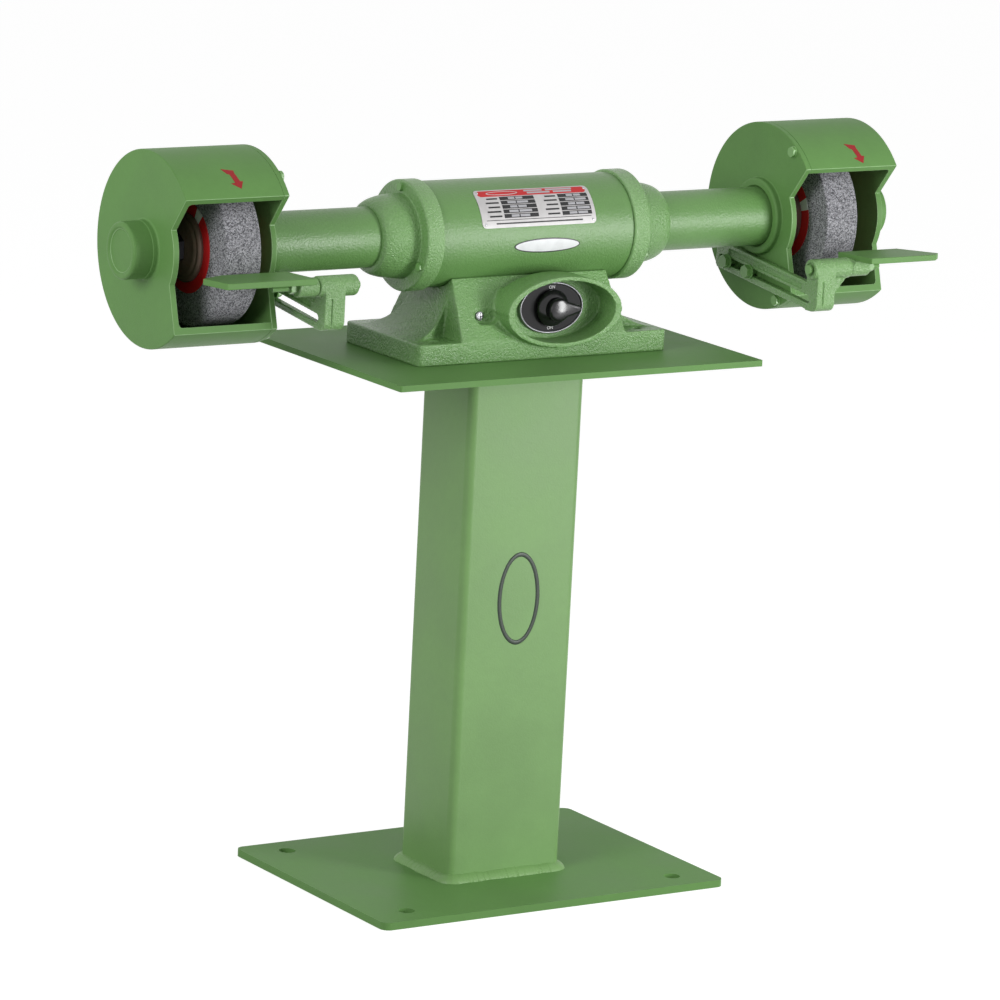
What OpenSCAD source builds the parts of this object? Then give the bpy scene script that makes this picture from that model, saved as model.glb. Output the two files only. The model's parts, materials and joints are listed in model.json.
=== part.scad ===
// Pedestal grinder: a double-ended wheel grinder on a square-tube column.
// Millimetres, +Z up, X along the wheel shaft, front faces -Y.
// The origin lies on the floor at the middle of the base plate.

/* [Pedestal] */
// Length of the floor plate along the shaft
base_x = 528; // [480:1:560]
// Depth of the floor plate
base_y = 384; // [372:1:420]
// Thickness of the floor plate
base_t = 10; // [8:1:16]
// Corner radius of the floor plate
base_corner_r = 12; // [4:1:30]
// Spacing of the floor bolt holes along the shaft
floor_hole_dx = 413; // [380:1:440]
// Spacing of the floor bolt holes front to back
floor_hole_dy = 303; // [270:1:320]
// Diameter of the floor bolt holes
floor_hole_d = 22; // [12:0.5:26]
// Width of the column tube along the shaft
column_x = 175; // [145:1:205]
// Depth of the column tube
column_y = 123; // [104:1:144]
// Length of the column tube
column_len = 691; // [500:1:800]
// Wall of the column tube
column_wall = 5; // [3:0.5:8]
// Outer corner radius of the column tube
column_corner_r = 9; // [8.5:0.5:14]
// Leg length of the welds at both ends of the column
weld_leg = 8; // [4:0.5:14]
// Length of the top plate along the shaft
top_x = 553; // [430:1:600]
// Depth of the top plate
top_y = 381; // [260:1:384]
// Thickness of the top plate
top_t = 8; // [6:0.5:14]
// Corner radius of the top plate
top_corner_r = 3; // [1:0.5:20]
// Diameter of the cable hole through the top plate
cable_hole_d = 40; // [20:1:60]
// Height of the middle of the badge on the column above the floor
column_badge_z = 385; // [150:1:600]
// Width of the badge on the column
column_badge_w = 65; // [40:1:90]
// Height of the badge on the column
column_badge_h = 124; // [80:1:160]

/* [Motor foot] */
// Height of the shaft above the top plate
shaft_rise = 154; // [150:1:165]
// Length of the foot casting along the shaft
foot_x = 380; // [360:1:410]
// Depth of the foot casting
foot_y = 184; // [180:1:220]
// Height of the flange around the foot casting
foot_flange_h = 28; // [22:1:32]
// Vertical corner radius of the flange
foot_corner_r = 8; // [3:0.5:16]
// Length of the saddle under the motor
saddle_x = 236; // [230:1:250]
// Depth of the saddle where it meets the motor
saddle_y = 90; // [82:1:102]
// Height of the top edge of the saddle above the top plate
saddle_h = 98; // [94:1:104]
// Wall of the foot casting
foot_wall = 7; // [5:0.5:10]
// Spacing of the foot bolts along the shaft
foot_bolt_dx = 312; // [300:1:330]
// Spacing of the foot bolts front to back
foot_bolt_dy = 140; // [130:1:150]
// Diameter of the foot bolts
foot_bolt_d = 12; // [8:0.5:14]
// Depth of the end webs at the saddle
web_y = 84; // [66:1:96]
// Depth of the end webs at the ends of the flange
web_end_y = 146; // [120:1:160]
// Diameter of the cable gland's thread
gland_d = 20; // [12:0.5:24]
// Offset of the cable gland from the middle
gland_x = -70; // [-90:1:-50]
// Diameter of the hole for the motor leads
wire_hole_d = 24; // [12:1:30]
// Offset of the small screw beside the switch cup
screw_x = -88; // [-96:1:-82]
// Drop of the small screw below the shaft
screw_drop = 97; // [90:1:104]
// Diameter of the small screw's head
screw_d = 12; // [8:0.5:14]

/* [Motor] */
// Outer diameter of the motor barrel
barrel_d = 137; // [135:0.5:141]
// Length of the motor barrel
barrel_len = 292; // [280:1:300]
// Wall of the motor barrel
barrel_wall = 11; // [9:0.5:13]
// Diameter of the end bell flanges
bell_d = 144; // [142:0.2:149]
// Thickness of the end bell flanges
bell_flange_t = 25; // [18:0.5:32]
// Length of the end bell beyond its flange
bell_nose = 49; // [44:0.5:60]
// Diameter of the end bell's nose where the pipe enters
bell_neck_d = 84; // [82:0.5:94]
// Pitch radius of the end bell bolts
bell_bolt_r = 63; // [62:0.5:64]
// Diameter of the end bell bolts
bell_bolt_d = 6; // [4:0.5:6]
// Length of the stator and rotor packs
pack_len = 130; // [80:1:160]
// Diameter of the rotor pack
rotor_d = 78; // [60:1:84]
// Air gap between rotor and stator
air_gap = 0.6; // [0.4:0.1:1.2]
// Number of slots in the stator
stator_slots = 18; // [12:1:24]
// Radial thickness of the coil ends
coil_t = 12; // [8:0.5:14]
// Length of the coil ends
coil_len = 24; // [16:1:30]
// Width of the nameplate along the barrel
nameplate_w = 174; // [120:1:220]
// Angle of the nameplate's lower edge above the front
nameplate_low = 13; // [10:1:24]
// Angle of the nameplate's upper edge above the front
nameplate_high = 59; // [46:1:66]
// Thickness of the nameplate and the badge on the motor
plate_t = 0.8; // [0.5:0.1:1.2]
// Diameter of the nameplate's rivets
rivet_d = 3; // [2:0.1:4]
// Offset of the badge on the motor from the middle
motor_badge_x = 12; // [-20:1:30]
// Drop of the badge on the motor below the shaft
motor_badge_drop = 10; // [4:1:12]
// Width of the badge on the motor
motor_badge_w = 100; // [60:1:110]
// Height of the badge on the motor
motor_badge_h = 19.5; // [12:0.5:20]

/* [Shaft and bearings] */
// Outer diameter of the shaft pipes
pipe_d = 78; // [74:0.5:78]
// Wall of the shaft pipes
pipe_wall = 4; // [3:0.5:6]
// Diameter of the shaft inside the motor
shaft_mid_d = 36; // [34:1:38]
// Diameter of the shaft at its bearings
shaft_bearing_d = 30; // [28:1:32]
// Diameter of the shaft ends that carry the wheels
shaft_end_d = 25; // [20:0.5:25.4]
// Outer diameter of the bearings
bearing_d = 62; // [60:1:64]
// Width of the bearings
bearing_w = 16; // [14:1:20]
// Diameter of the bearing balls
ball_d = 9.5; // [8:0.1:10]
// Number of balls in each bearing
ball_count = 9; // [7:1:10]
// Distance from the middle of the machine to the middle of each bearing
bearing_at = 368; // [340:1:370]

/* [Wheels] */
// Diameter of the grinding wheels
wheel_d = 200; // [150:1:201]
// Width of the grinding wheels
wheel_w = 50; // [25:1:52]
// Distance from the middle of the machine to the inner face of each wheel
wheel_at = 432; // [430:1:440]
// Diameter of the paper discs beside the wheel
blotter_d = 116; // [96:1:120]
// Thickness of the paper discs beside the wheel
blotter_t = 1; // [0.5:0.1:2]
// Diameter of the wheel flanges
flange_d = 88; // [60:1:92]
// Thickness of the wheel flanges
flange_t = 14; // [8:0.5:14]
// Width across the flats of the spindle nuts
nut_af = 38; // [36:1:44]
// Height of the spindle nuts
nut_h = 14; // [10:0.5:16]

/* [Guards] */
// Diameter of the wheel guards
guard_d = 250; // [246:1:260]
// Distance from the middle of the machine to the inner face of each guard
guard_at = 394; // [394:1:400]
// Distance from the middle of the machine to the outer face of each guard
guard_end = 542; // [540:1:548]
// Thickness of the guard castings
guard_wall = 8; // [6:0.5:9]
// Diameter of the collar that stays round the shaft at the guard opening
collar_d = 146; // [138:1:156]
// Angle of the upper end of the opening above the front
lip_up = 38; // [32:1:44]
// Angle of the lower end of the opening below the front
lip_down = 49; // [42:1:52]
// Angle of the opening above the front at the collar
collar_up = 28; // [22:1:32]
// Angle of the opening below the front at the collar
collar_down = 27; // [22:1:34]
// Diameter of the hub cup on the outer side of each guard
cup_d = 73; // [70:1:80]
// Height of the hub cup
cup_h = 35.5; // [28:0.5:40]
// Pitch radius of the guard bolts
guard_bolt_r = 117; // [116:0.5:118]
// Angle of the first guard bolt above the front
guard_bolt_angle = 55; // [52:1:62]
// Diameter of the guard bolts
guard_bolt_d = 8; // [6:0.5:9]
// Length of the guard bolts beyond the inner plate
guard_bolt_grip = 14; // [10:1:18]
// Diameter of the bosses that carry the rest arm
clamp_boss_d = 24; // [20:0.5:26]

/* [Tool rests] */
// Thickness of the rest arms
arm_t = 9; // [7:0.5:10]
// Height of the arm above the middle of its slot
arm_above = 22; // [18:1:23]
// Height of the arm below the middle of its slot
arm_below = 14; // [12:0.5:18]
// Slope of the arms down to the front
arm_slope = 6; // [4:0.5:8]
// Width of the slot in the arms
arm_slot_w = 10.6; // [10.4:0.1:12]
// Width of the post at the front of the arms
post_w = 20; // [14:1:22]
// Depth of the post at the front of the arms
post_y = 26; // [24:1:30]
// Height of the pivot boss above the middle of the slot
boss_rise = 42; // [40:1:46]
// Diameter of the pivot boss on the arms
boss_d = 27; // [24:0.5:28]
// Distance from the pivot to the front end of the slot
slot_front = 9; // [6:0.5:20]
// Distance from the pivot to the rear end of the slot
slot_rear = 210; // [208:1:220]
// Distance from the shaft to the pivot of the left rest, front to back
left_pivot_y = 128; // [128:0.5:150]
// Distance from the shaft to the pivot of the right rest, front to back
right_pivot_y = 142; // [130:0.5:150]
// Drop of the left pivot below the shaft
left_pivot_drop = 34; // [30:0.5:44]
// Drop of the right pivot below the shaft
right_pivot_drop = 48; // [34:0.5:50]
// Inner face of the left arm from the middle of the machine
left_arm_at = 353; // [340:0.5:360]
// Inner face of the right arm from the middle of the machine
right_arm_at = 382; // [370:0.5:383]
// Diameter of the clamp bolts
clamp_bolt_d = 10; // [8:0.5:10]
// Distance of the rear clamp bolt behind the shaft
clamp_rear = 52; // [44:0.5:56]
// Spacing of the two clamp bolts
clamp_pitch = 51; // [44:0.5:60]
// Depth of the rest tables
table_y = 57; // [50:0.5:60]
// Distance of the table's wheel edge behind the pivot
table_behind = 25; // [20:0.5:25]
// Inner end of the left table from the middle of the machine
left_table_at = 386; // [374:1:390]
// Length of the left table
left_table_len = 139; // [120:1:145]
// Slant of the left table's inner end, outwards at the wheel
left_table_slant = 11; // [0:1:14]
// Place of the left table's outer point behind the pivot
left_table_tip = 10; // [-20:1:14]
// Inner end of the right table at the wheel, from the middle of the machine
right_table_at = 440; // [440:1:446]
// Length of the right table
right_table_len = 130; // [110:1:132]
// Slant of the right table's inner end, outwards at the front
right_table_slant = 14; // [0:1:18]
// Place of the right table's outer point in front of the pivot
right_table_tip = 22; // [-10:1:24]
// Length of the corner cut at the outer end of a table, at the wheel
table_corner = 34; // [20:1:40]
// Length of the corner cut at the outer end of a table, at the front
table_nose = 11; // [6:1:16]
// Thickness of the rest tables
table_t = 8; // [5:0.5:8.5]
// Height of the table's top above the pivot
table_rise = 16.5; // [16:0.5:20]
// Length of the table hubs on the pivot
hub_len = 29; // [20:1:32]
// Diameter of the table hubs
hub_d = 24; // [20:0.5:26]
// Diameter of the pivot studs
pivot_d = 8; // [6:0.5:8]
// Reach of the left pivot boss past its arm, towards the wheel
left_boss_out = 7; // [4:0.5:8]
// Reach of the right pivot boss past its arm, towards the motor
right_boss_out = 4; // [2:0.5:6]
// Length of the left pivot boss
left_boss_len = 58; // [50:1:64]
// Length of the right pivot boss
right_boss_len = 61; // [54:1:61]
// Free thread of the left pivot stud beyond its hub
left_stud_tail = 34; // [16:1:40]
// Free thread of the right pivot stud beyond its hub
right_stud_tail = 20; // [14:1:30]

/* [Switch] */
// Width of the oval switch cup
cup_x = 175; // [165:1:180]
// Height of the oval switch cup
cup_z = 92; // [84:1:94]
// Distance of the cup's rim in front of the shaft
cup_front = 104; // [100:0.5:108]
// Depth of the cup behind its rim
cup_depth = 38; // [30:0.5:40]
// Width of the cup's rim at its sides
cup_rim_x = 10; // [7:0.5:12]
// Width of the cup's rim at its top and bottom
cup_rim_z = 5.5; // [4:0.5:8]
// Offset of the switch to the right of the middle
switch_x = 22; // [10:1:26]
// Drop of the switch below the shaft
switch_drop = 92; // [90:0.5:94]
// Width of the oval dial
dial_x = 92; // [80:1:100]
// Height of the oval dial
dial_z = 62; // [58:1:70]
// Thickness of the dial
dial_t = 3; // [2:0.5:5]
// Width and height of the switch body behind the dial
switch_body_w = 30; // [24:1:32]
// Diameter of the knob's stem
knob_stem_d = 8; // [6:0.5:12]
// Diameter of the knob
knob_d = 48; // [40:1:52]
// Length of the knob's handle from its middle
handle_len = 34; // [28:0.5:36]

/* [Hidden] */
$fn = 64;

// Clearance of a close fit, on the radius
fit = 0.05;
// Clearance between parts that move past each other
run = 0.3;
// Clearance between flat faces that slide
slide = 0.2;
// Overrun of a cut past the face that it opens
cut = 1;
// Radius of a hexagon's corners, as a share of its width across the flats
hex_corner = 1 / sqrt(3);
// Height of a bolt's head, as a share of its thread
head_h = 0.65;
// Width of a bolt's head across the flats, as a share of its thread
head_af = 1.6;
// Difference in diameter between the inner and outer races
race_gap = 5;
// Free thread beyond the spindle nuts
thread_tail = 8;
// Thread of the end bell bolts inside the barrel
bell_bolt_grip = 14;
// Solid metal left over the blind end of a bolt hole
blind = 4;
// Length of the knob's stem inside the switch body
stem_len = 12;
// Depth of the small screw's seat in the sloping wall
screw_sink = 3;
// Length of the small screw behind its seat
screw_shank = 4;

plate_top = base_t + column_len + top_t;
shaft_z = plate_top + shaft_rise;
barrel_end = barrel_len / 2;
bell_face = barrel_end + bell_flange_t;
bell_end = bell_face + bell_nose;
barrel_bore_r = barrel_d / 2 - barrel_wall;
pipe_r = pipe_d / 2;
pipe_start = bell_face + bell_nose / 2;
wheel_end = wheel_at + wheel_w;
shoulder_at = wheel_at - blotter_t - flange_t;
nut_at = wheel_end + blotter_t + flange_t;
shaft_end = nut_at + nut_h + thread_tail;
dial_back = cup_front - cup_depth;
ball_pitch_r = (bearing_d + shaft_bearing_d) / 4;
bell_bolt_angles = [-30, 90, 210];
clamp_places = [clamp_rear, clamp_rear - clamp_pitch];
left_boss_at = left_arm_at + arm_t + left_boss_out;
right_boss_at = right_arm_at - right_boss_out;
left_hub_at = left_boss_at + run;
right_hub_at = right_boss_at + right_boss_len + run;
left_plan = let (front = table_behind - table_y, end = left_table_at + left_table_len) [
    [left_table_at + left_table_slant, table_behind], [left_table_at, front],
    [end - table_nose, front], [end, left_table_tip], [end - table_corner, table_behind]
];
right_plan = let (front = table_behind - table_y, end = right_table_at + right_table_len) [
    [right_table_at, table_behind], [right_table_at + right_table_slant, front],
    [end - table_nose, front], [end, -right_table_tip], [end - table_corner, table_behind]
];

// Solid turned about the shaft, from a profile of [radius, distance along X]
module turned(points) {
    translate([0, 0, shaft_z])
        rotate([0, 90, 0])
            rotate_extrude()
                polygon(points);
}

// Round bar along X between two distances, about a line at [y, z]
module bar_x(d, from, to, y = 0, z = 0) {
    translate([from, y, z])
        rotate([0, 90, 0])
            cylinder(d = d, h = to - from);
}

// Hexagon bar along X between two distances, about a line at [y, z]
module hex_x(af, from, to, y = 0, z = 0) {
    translate([from, y, z])
        rotate([0, 90, 0])
            cylinder(r = af * hex_corner, h = to - from, $fn = 6);
}

// Flat rectangle with round corners, centred
module rounded_rect(x, y, r) {
    square([x - 2 * r, y], center = true);
    square([x, y - 2 * r], center = true);
    for (sx = [-1, 1], sy = [-1, 1])
        translate([sx * (x / 2 - r), sy * (y / 2 - r)])
            circle(r = r);
}

// Points of an ellipse of the given width and height
function oval(w, h, n = 48) = [
    for (i = [0 : n - 1]) [w / 2 * cos(360 * i / n), h / 2 * sin(360 * i / n)]
];

// Oval bar that faces the front, between two distances in front of the shaft
module oval_bar(w, h, front, back) {
    translate([switch_x, -back, shaft_z - switch_drop])
        rotate([90, 0, 0])
            linear_extrude(front - back)
                polygon(oval(w, h));
}

// Point at a radius and an angle above the front, as [y, z]
function front_polar(r, a) = [-r * cos(a), r * sin(a)];

// Everything of one side is drawn for the right, and mirrored for the left
module side(s) {
    if (s > 0)
        children();
    else
        mirror([1, 0, 0])
            children();
}

// Points along a circular arc
function arc(c, r, a0, a1, n = 8) = [
    for (i = [0 : n]) let (a = a0 + (a1 - a0) * i / n) c + r * [cos(a), sin(a)]
];

module base_plate() {
    color("#6a8c5e")
        difference() {
            linear_extrude(base_t)
                rounded_rect(base_x, base_y, base_corner_r);
            for (sx = [-1, 1], sy = [-1, 1])
                translate([sx * floor_hole_dx / 2, sy * floor_hole_dy / 2, -cut])
                    cylinder(d = floor_hole_d, h = base_t + 2 * cut);
        }
}

// Triangular weld round the foot of the column, drawn upwards from z = 0
module column_weld() {
    flat_x = column_x - 2 * column_corner_r;
    flat_y = column_y - 2 * column_corner_r;
    root = column_wall / 2;
    for (s = [0, 180]) {
        rotate([0, 0, s])
            translate([-flat_x / 2, column_y / 2, 0])
                rotate([90, 0, 90])
                    linear_extrude(flat_x)
                        polygon([[-root, 0], [weld_leg, 0], [0, weld_leg], [-root, weld_leg]]);
        rotate([0, 0, s])
            translate([column_x / 2, flat_y / 2, 0])
                rotate([90, 0, 0])
                    linear_extrude(flat_y)
                        polygon([[-root, 0], [weld_leg, 0], [0, weld_leg], [-root, weld_leg]]);
    }
    for (c = [[1, 1, 0], [-1, 1, 90], [-1, -1, 180], [1, -1, 270]])
        translate([c[0] * flat_x / 2, c[1] * flat_y / 2, 0])
            rotate([0, 0, c[2]])
                rotate_extrude(angle = 90)
                    polygon([
                        [column_corner_r - root, 0],
                        [column_corner_r + weld_leg, 0],
                        [column_corner_r, weld_leg],
                        [column_corner_r - root, weld_leg]
                    ]);
}

module column() {
    color("#88a877")
        union() {
            translate([0, 0, base_t])
                linear_extrude(column_len)
                    difference() {
                        rounded_rect(column_x, column_y, column_corner_r);
                        rounded_rect(
                            column_x - 2 * column_wall,
                            column_y - 2 * column_wall,
                            column_corner_r - column_wall
                        );
                    }
            translate([0, 0, base_t])
                column_weld();
            translate([0, 0, base_t + column_len])
                mirror([0, 0, 1])
                    column_weld();
        }
}

module top_plate() {
    color("#4e7438")
        translate([0, 0, plate_top - top_t])
            difference() {
                linear_extrude(top_t)
                    rounded_rect(top_x, top_y, top_corner_r);
                translate([0, 0, -cut])
                    cylinder(d = cable_hole_d, h = top_t + 2 * cut);
                foot_bolt_holes(-cut, top_t + 2 * cut);
            }
}

// The four foot bolt holes, from a height upwards
module foot_bolt_holes(from, h) {
    for (sx = [-1, 1], sy = [-1, 1])
        translate([sx * foot_bolt_dx / 2, sy * foot_bolt_dy / 2, from])
            cylinder(d = foot_bolt_d + 2 * fit, h = h);
}

// Hexagon bolts that come up through the top plate into the foot
module foot_bolts() {
    color("#8c8f92")
        for (sx = [-1, 1], sy = [-1, 1])
            translate([sx * foot_bolt_dx / 2, sy * foot_bolt_dy / 2, plate_top - top_t]) {
                translate([0, 0, -head_h * foot_bolt_d])
                    cylinder(r = head_af * foot_bolt_d * hex_corner, h = head_h * foot_bolt_d, $fn = 6);
                cylinder(d = foot_bolt_d, h = top_t + foot_flange_h - 2 * blind);
            }
}

// End view of the saddle, as [y, z] above the top plate, drawn in by an inset
function saddle_section(inset) = [
    [-foot_y / 2 + inset, 0],
    [foot_y / 2 - inset, 0],
    [foot_y / 2 - inset, foot_flange_h],
    [saddle_y / 2 - inset, saddle_h],
    [-saddle_y / 2 + inset, saddle_h],
    [-foot_y / 2 + inset, foot_flange_h]
];

// Solid with an end view of [y, z], along X and centred
module along_x(points, length) {
    rotate([90, 0, 90])
        translate([0, 0, -length / 2])
            linear_extrude(length)
                polygon(points);
}

// Right half of the webs' top edge, which sweeps from the flange up to the saddle, as [x, z]
function web_edge(sweep = 1.9, steps = 8) = [
    for (i = [0 : steps]) let (reach = (foot_x - saddle_x) / 2, rise = saddle_h - foot_flange_h) [
        foot_x / 2 - reach * (1 - pow(1 - i / steps, sweep)),
        foot_flange_h + rise * pow(i / steps, sweep)
    ]
];

// Front view of the webs at both ends
module web_section() {
    right = web_edge();
    left = [for (i = [len(right) - 1 : -1 : 0]) [-right[i][0], right[i][1]]];
    polygon(concat([[-foot_x / 2, 0], [foot_x / 2, 0]], right, left));
}

// Plan of the webs: they grow deeper towards the ends of the flange
module web_plan() {
    polygon([
        [-foot_x / 2, -web_end_y / 2], [-saddle_x / 2, -web_y / 2],
        [saddle_x / 2, -web_y / 2], [foot_x / 2, -web_end_y / 2],
        [foot_x / 2, web_end_y / 2], [saddle_x / 2, web_y / 2],
        [-saddle_x / 2, web_y / 2], [-foot_x / 2, web_end_y / 2]
    ]);
}

// Outer form of the saddle, with ends that lean in a little
module saddle() {
    lean = 10;
    intersection() {
        along_x(saddle_section(0), saddle_x + 2 * lean);
        translate([0, foot_y / 2, 0])
            rotate([90, 0, 0])
                linear_extrude(foot_y)
                    polygon([
                        [-saddle_x / 2 - lean, 0], [saddle_x / 2 + lean, 0],
                        [saddle_x / 2, saddle_h], [-saddle_x / 2, saddle_h]
                    ]);
    }
}

module motor_foot() {
    body_gap = 2;
    switch_hole = switch_body_w + 2 * body_gap;
    color("#98b28e")
        difference() {
            union() {
                translate([0, 0, plate_top]) {
                    linear_extrude(foot_flange_h)
                        rounded_rect(foot_x, foot_y, foot_corner_r);
                    saddle();
                    intersection() {
                        translate([0, foot_y / 2, 0])
                            rotate([90, 0, 0])
                                linear_extrude(foot_y)
                                    web_section();
                        linear_extrude(saddle_h)
                            web_plan();
                    }
                }
                oval_bar(cup_x, cup_z, cup_front, dial_back - foot_wall);
            }
            oval_bar(cup_x - 2 * cup_rim_x, cup_z - 2 * cup_rim_z, cup_front + cut, dial_back);
            foot_cavity();
            translate([switch_x - switch_hole / 2, -cup_front, shaft_z - switch_drop - switch_hole / 2])
                cube([switch_hole, cup_depth + 4 * foot_wall, switch_hole]);
            bar_x(barrel_d + 2 * fit, -foot_x, foot_x, 0, shaft_z);
            translate([0, 0, plate_top])
                foot_bolt_holes(-cut, saddle_h);
            cylinder(d = wire_hole_d, h = 2 * shaft_z);
            translate([gland_x, 0, plate_top + foot_flange_h / 2])
                rotate([-90, 0, 0])
                    cylinder(d = gland_d + 2 * fit, h = foot_y);
            foot_screw_pocket();
        }
}

// Hollow of the foot, open to the top plate
module foot_cavity() {
    difference() {
        translate([0, 0, plate_top - cut])
            along_x(saddle_section(foot_wall), saddle_x - 2 * foot_wall);
        bar_x(barrel_d + 2 * foot_wall, -foot_x, foot_x, 0, shaft_z);
        oval_bar(cup_x, cup_z, cup_front, dial_back - foot_wall);
    }
}

// Front of the sloping wall at a drop below the shaft
function wall_front(drop) = let (up = shaft_rise - drop)
    foot_y / 2 - (up - foot_flange_h) / (saddle_h - foot_flange_h) * (foot_y - saddle_y) / 2;

// Moves a piece drawn upwards to the seat of the small screw, so that it faces the front
module at_screw_seat() {
    translate([screw_x, screw_sink - wall_front(screw_drop), shaft_z - screw_drop])
        rotate([90, 0, 0])
            children();
}

module foot_screw_pocket() {
    pocket_gap = 4;
    at_screw_seat() {
        cylinder(d = screw_d + 2 * pocket_gap, h = foot_y / 2);
        translate([0, 0, -screw_shank])
            cylinder(d = screw_d / 2 + 2 * fit, h = screw_shank + cut);
    }
}

module foot_screw() {
    head_t = 3;
    slot_w = 1.2;
    slot_len = screw_d / 1.5;
    color("#c9cbcc")
        at_screw_seat()
            difference() {
                union() {
                    cylinder(d = screw_d, h = head_t);
                    translate([0, 0, -screw_shank])
                        cylinder(d = screw_d / 2, h = screw_shank + cut);
                }
                for (a = [0, 90])
                    rotate([0, 0, a])
                        translate([-slot_len / 2, -slot_w / 2, head_t / 2])
                            cube([slot_len, slot_w, head_t]);
            }
}

// Block where the supply wires and the motor leads meet
module terminal_block() {
    block = [90, 22, 26];
    block_x = -60;
    wall_gap = 12;
    screw_hole_d = 7;
    screw_count = 4;
    pitch = block[0] / screw_count;
    color("#2c2c2c")
        translate([block_x, foot_y / 2 - foot_wall - wall_gap - block[1], plate_top])
            difference() {
                cube(block);
                for (i = [0 : screw_count - 1])
                    translate([(i + 0.5) * pitch, block[1] / 2, block[2] / 2])
                        cylinder(d = screw_hole_d, h = block[2]);
            }
}

module cable_gland() {
    inside = foot_wall + 6;
    hex_len = 7;
    cap_len = 9;
    color("#303234")
        translate([gland_x, foot_y / 2, plate_top + foot_flange_h / 2])
            rotate([-90, 0, 0])
                difference() {
                    union() {
                        translate([0, 0, -inside])
                            cylinder(d = gland_d, h = inside);
                        cylinder(r = 1.15 * gland_d * hex_corner, h = hex_len, $fn = 6);
                        translate([0, 0, hex_len])
                            cylinder(d = 1.05 * gland_d, h = cap_len);
                    }
                    translate([0, 0, -inside - cut])
                        cylinder(d = gland_d / 2, h = inside + hex_len + cap_len + 2 * cut);
                }
}

module stator_frame() {
    color("#9cb892")
        difference() {
            turned([
                [barrel_bore_r, -barrel_end], [barrel_d / 2, -barrel_end],
                [barrel_d / 2, barrel_end], [barrel_bore_r, barrel_end]
            ]);
            translate([0, 0, plate_top])
                cylinder(d = wire_hole_d, h = shaft_rise);
            for (s = [-1, 1])
                side(s)
                    bell_bolt_holes(barrel_end - bell_bolt_grip - cut, barrel_end + cut);
        }
}

// Holes of the end bell bolts on the right, between two distances
module bell_bolt_holes(from, to) {
    for (a = bell_bolt_angles) {
        p = front_polar(bell_bolt_r, a);
        bar_x(bell_bolt_d + 2 * fit, from, to, p[0], shaft_z + p[1]);
    }
}

module stator_core() {
    slot_w = 4;
    slot_deep = 11;
    inner_r = rotor_d / 2 + air_gap;
    color("#6f6f72")
        difference() {
            bar_x(2 * barrel_bore_r, -pack_len / 2, pack_len / 2, 0, shaft_z);
            bar_x(2 * inner_r, -pack_len / 2 - cut, pack_len / 2 + cut, 0, shaft_z);
            for (i = [0 : stator_slots - 1])
                translate([0, 0, shaft_z])
                    rotate([360 * i / stator_slots, 0, 0])
                        translate([-pack_len / 2 - cut, -slot_w / 2, inner_r - cut])
                            cube([pack_len + 2 * cut, slot_w, slot_deep + cut]);
        }
}

// Turned ends of the coils on both sides of the stator
module stator_windings() {
    bend = 4;
    outer_r = barrel_bore_r - bend;
    inner_r = outer_r - coil_t;
    from = pack_len / 2;
    to = from + coil_len;
    color("#a5562c")
        for (s = [-1, 1])
            side(s)
                turned([
                    [inner_r, from], [outer_r, from], [outer_r, to - bend], [outer_r - bend, to],
                    [inner_r + bend, to], [inner_r, to - bend]
                ]);
}

module rotor_core() {
    ring_t = 8;
    color("#87898c")
        difference() {
            union() {
                bar_x(rotor_d, -pack_len / 2, pack_len / 2, 0, shaft_z);
                for (s = [-1, 1])
                    side(s)
                        bar_x(rotor_d - ring_t, pack_len / 2 - cut, pack_len / 2 + ring_t, 0, shaft_z);
            }
            bar_x(shaft_mid_d + 2 * fit, -pack_len, pack_len, 0, shaft_z);
        }
}

module shaft() {
    mid_end = bearing_at - bearing_w / 2;
    chamfer = 1.5;
    right_half = [
        [shaft_mid_d / 2, mid_end], [shaft_bearing_d / 2, mid_end],
        [shaft_bearing_d / 2, shoulder_at], [shaft_end_d / 2, shoulder_at],
        [shaft_end_d / 2, shaft_end - chamfer], [shaft_end_d / 2 - chamfer, shaft_end], [0, shaft_end]
    ];
    left_half = [for (i = [len(right_half) - 1 : -1 : 0]) [right_half[i][0], -right_half[i][1]]];
    color("#b9bcbf")
        turned(concat(left_half, right_half));
}

// Casting that closes the barrel and holds the pipe
module end_bell() {
    socket_r = pipe_r + fit;
    shoulder_r = 3;
    nose_r = bell_neck_d / 2;
    head_room = 3.5;
    dome_r = bell_bolt_r - head_af * bell_bolt_d / 2 - head_room;
    dome_rise = dome_r - nose_r;
    dome_angles = [0 : 9 : 72];
    edge = 1;
    wall = 8;
    outside = concat(
        [[bell_d / 2 - edge, barrel_end], [bell_d / 2, barrel_end + edge]],
        arc([bell_d / 2 - shoulder_r, bell_face - shoulder_r], shoulder_r, 0, 90, 4),
        [[dome_r + edge, bell_face]],
        [for (a = dome_angles) [nose_r + dome_rise * cos(a), bell_face + edge + (bell_nose - edge) * sin(a)]],
        [[nose_r, bell_end]]
    );
    inside = [
        [socket_r, bell_end], [socket_r, pipe_start], [pipe_r - pipe_wall, pipe_start],
        [pipe_r - pipe_wall, pipe_start - wall], [barrel_bore_r - wall, bell_face - wall],
        [barrel_bore_r - 2 * edge, barrel_end]
    ];
    color("#7d9a72")
        difference() {
            turned(concat(outside, inside));
            bell_bolt_holes(barrel_end - cut, bell_face + cut);
        }
}

module end_bell_bolts() {
    color("#7c8f70")
        for (a = bell_bolt_angles) {
            p = front_polar(bell_bolt_r, a);
            z = shaft_z + p[1];
            bar_x(bell_bolt_d, barrel_end - bell_bolt_grip, bell_face, p[0], z);
            hex_x(head_af * bell_bolt_d, bell_face, bell_face + head_h * bell_bolt_d, p[0], z);
        }
}

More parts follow.
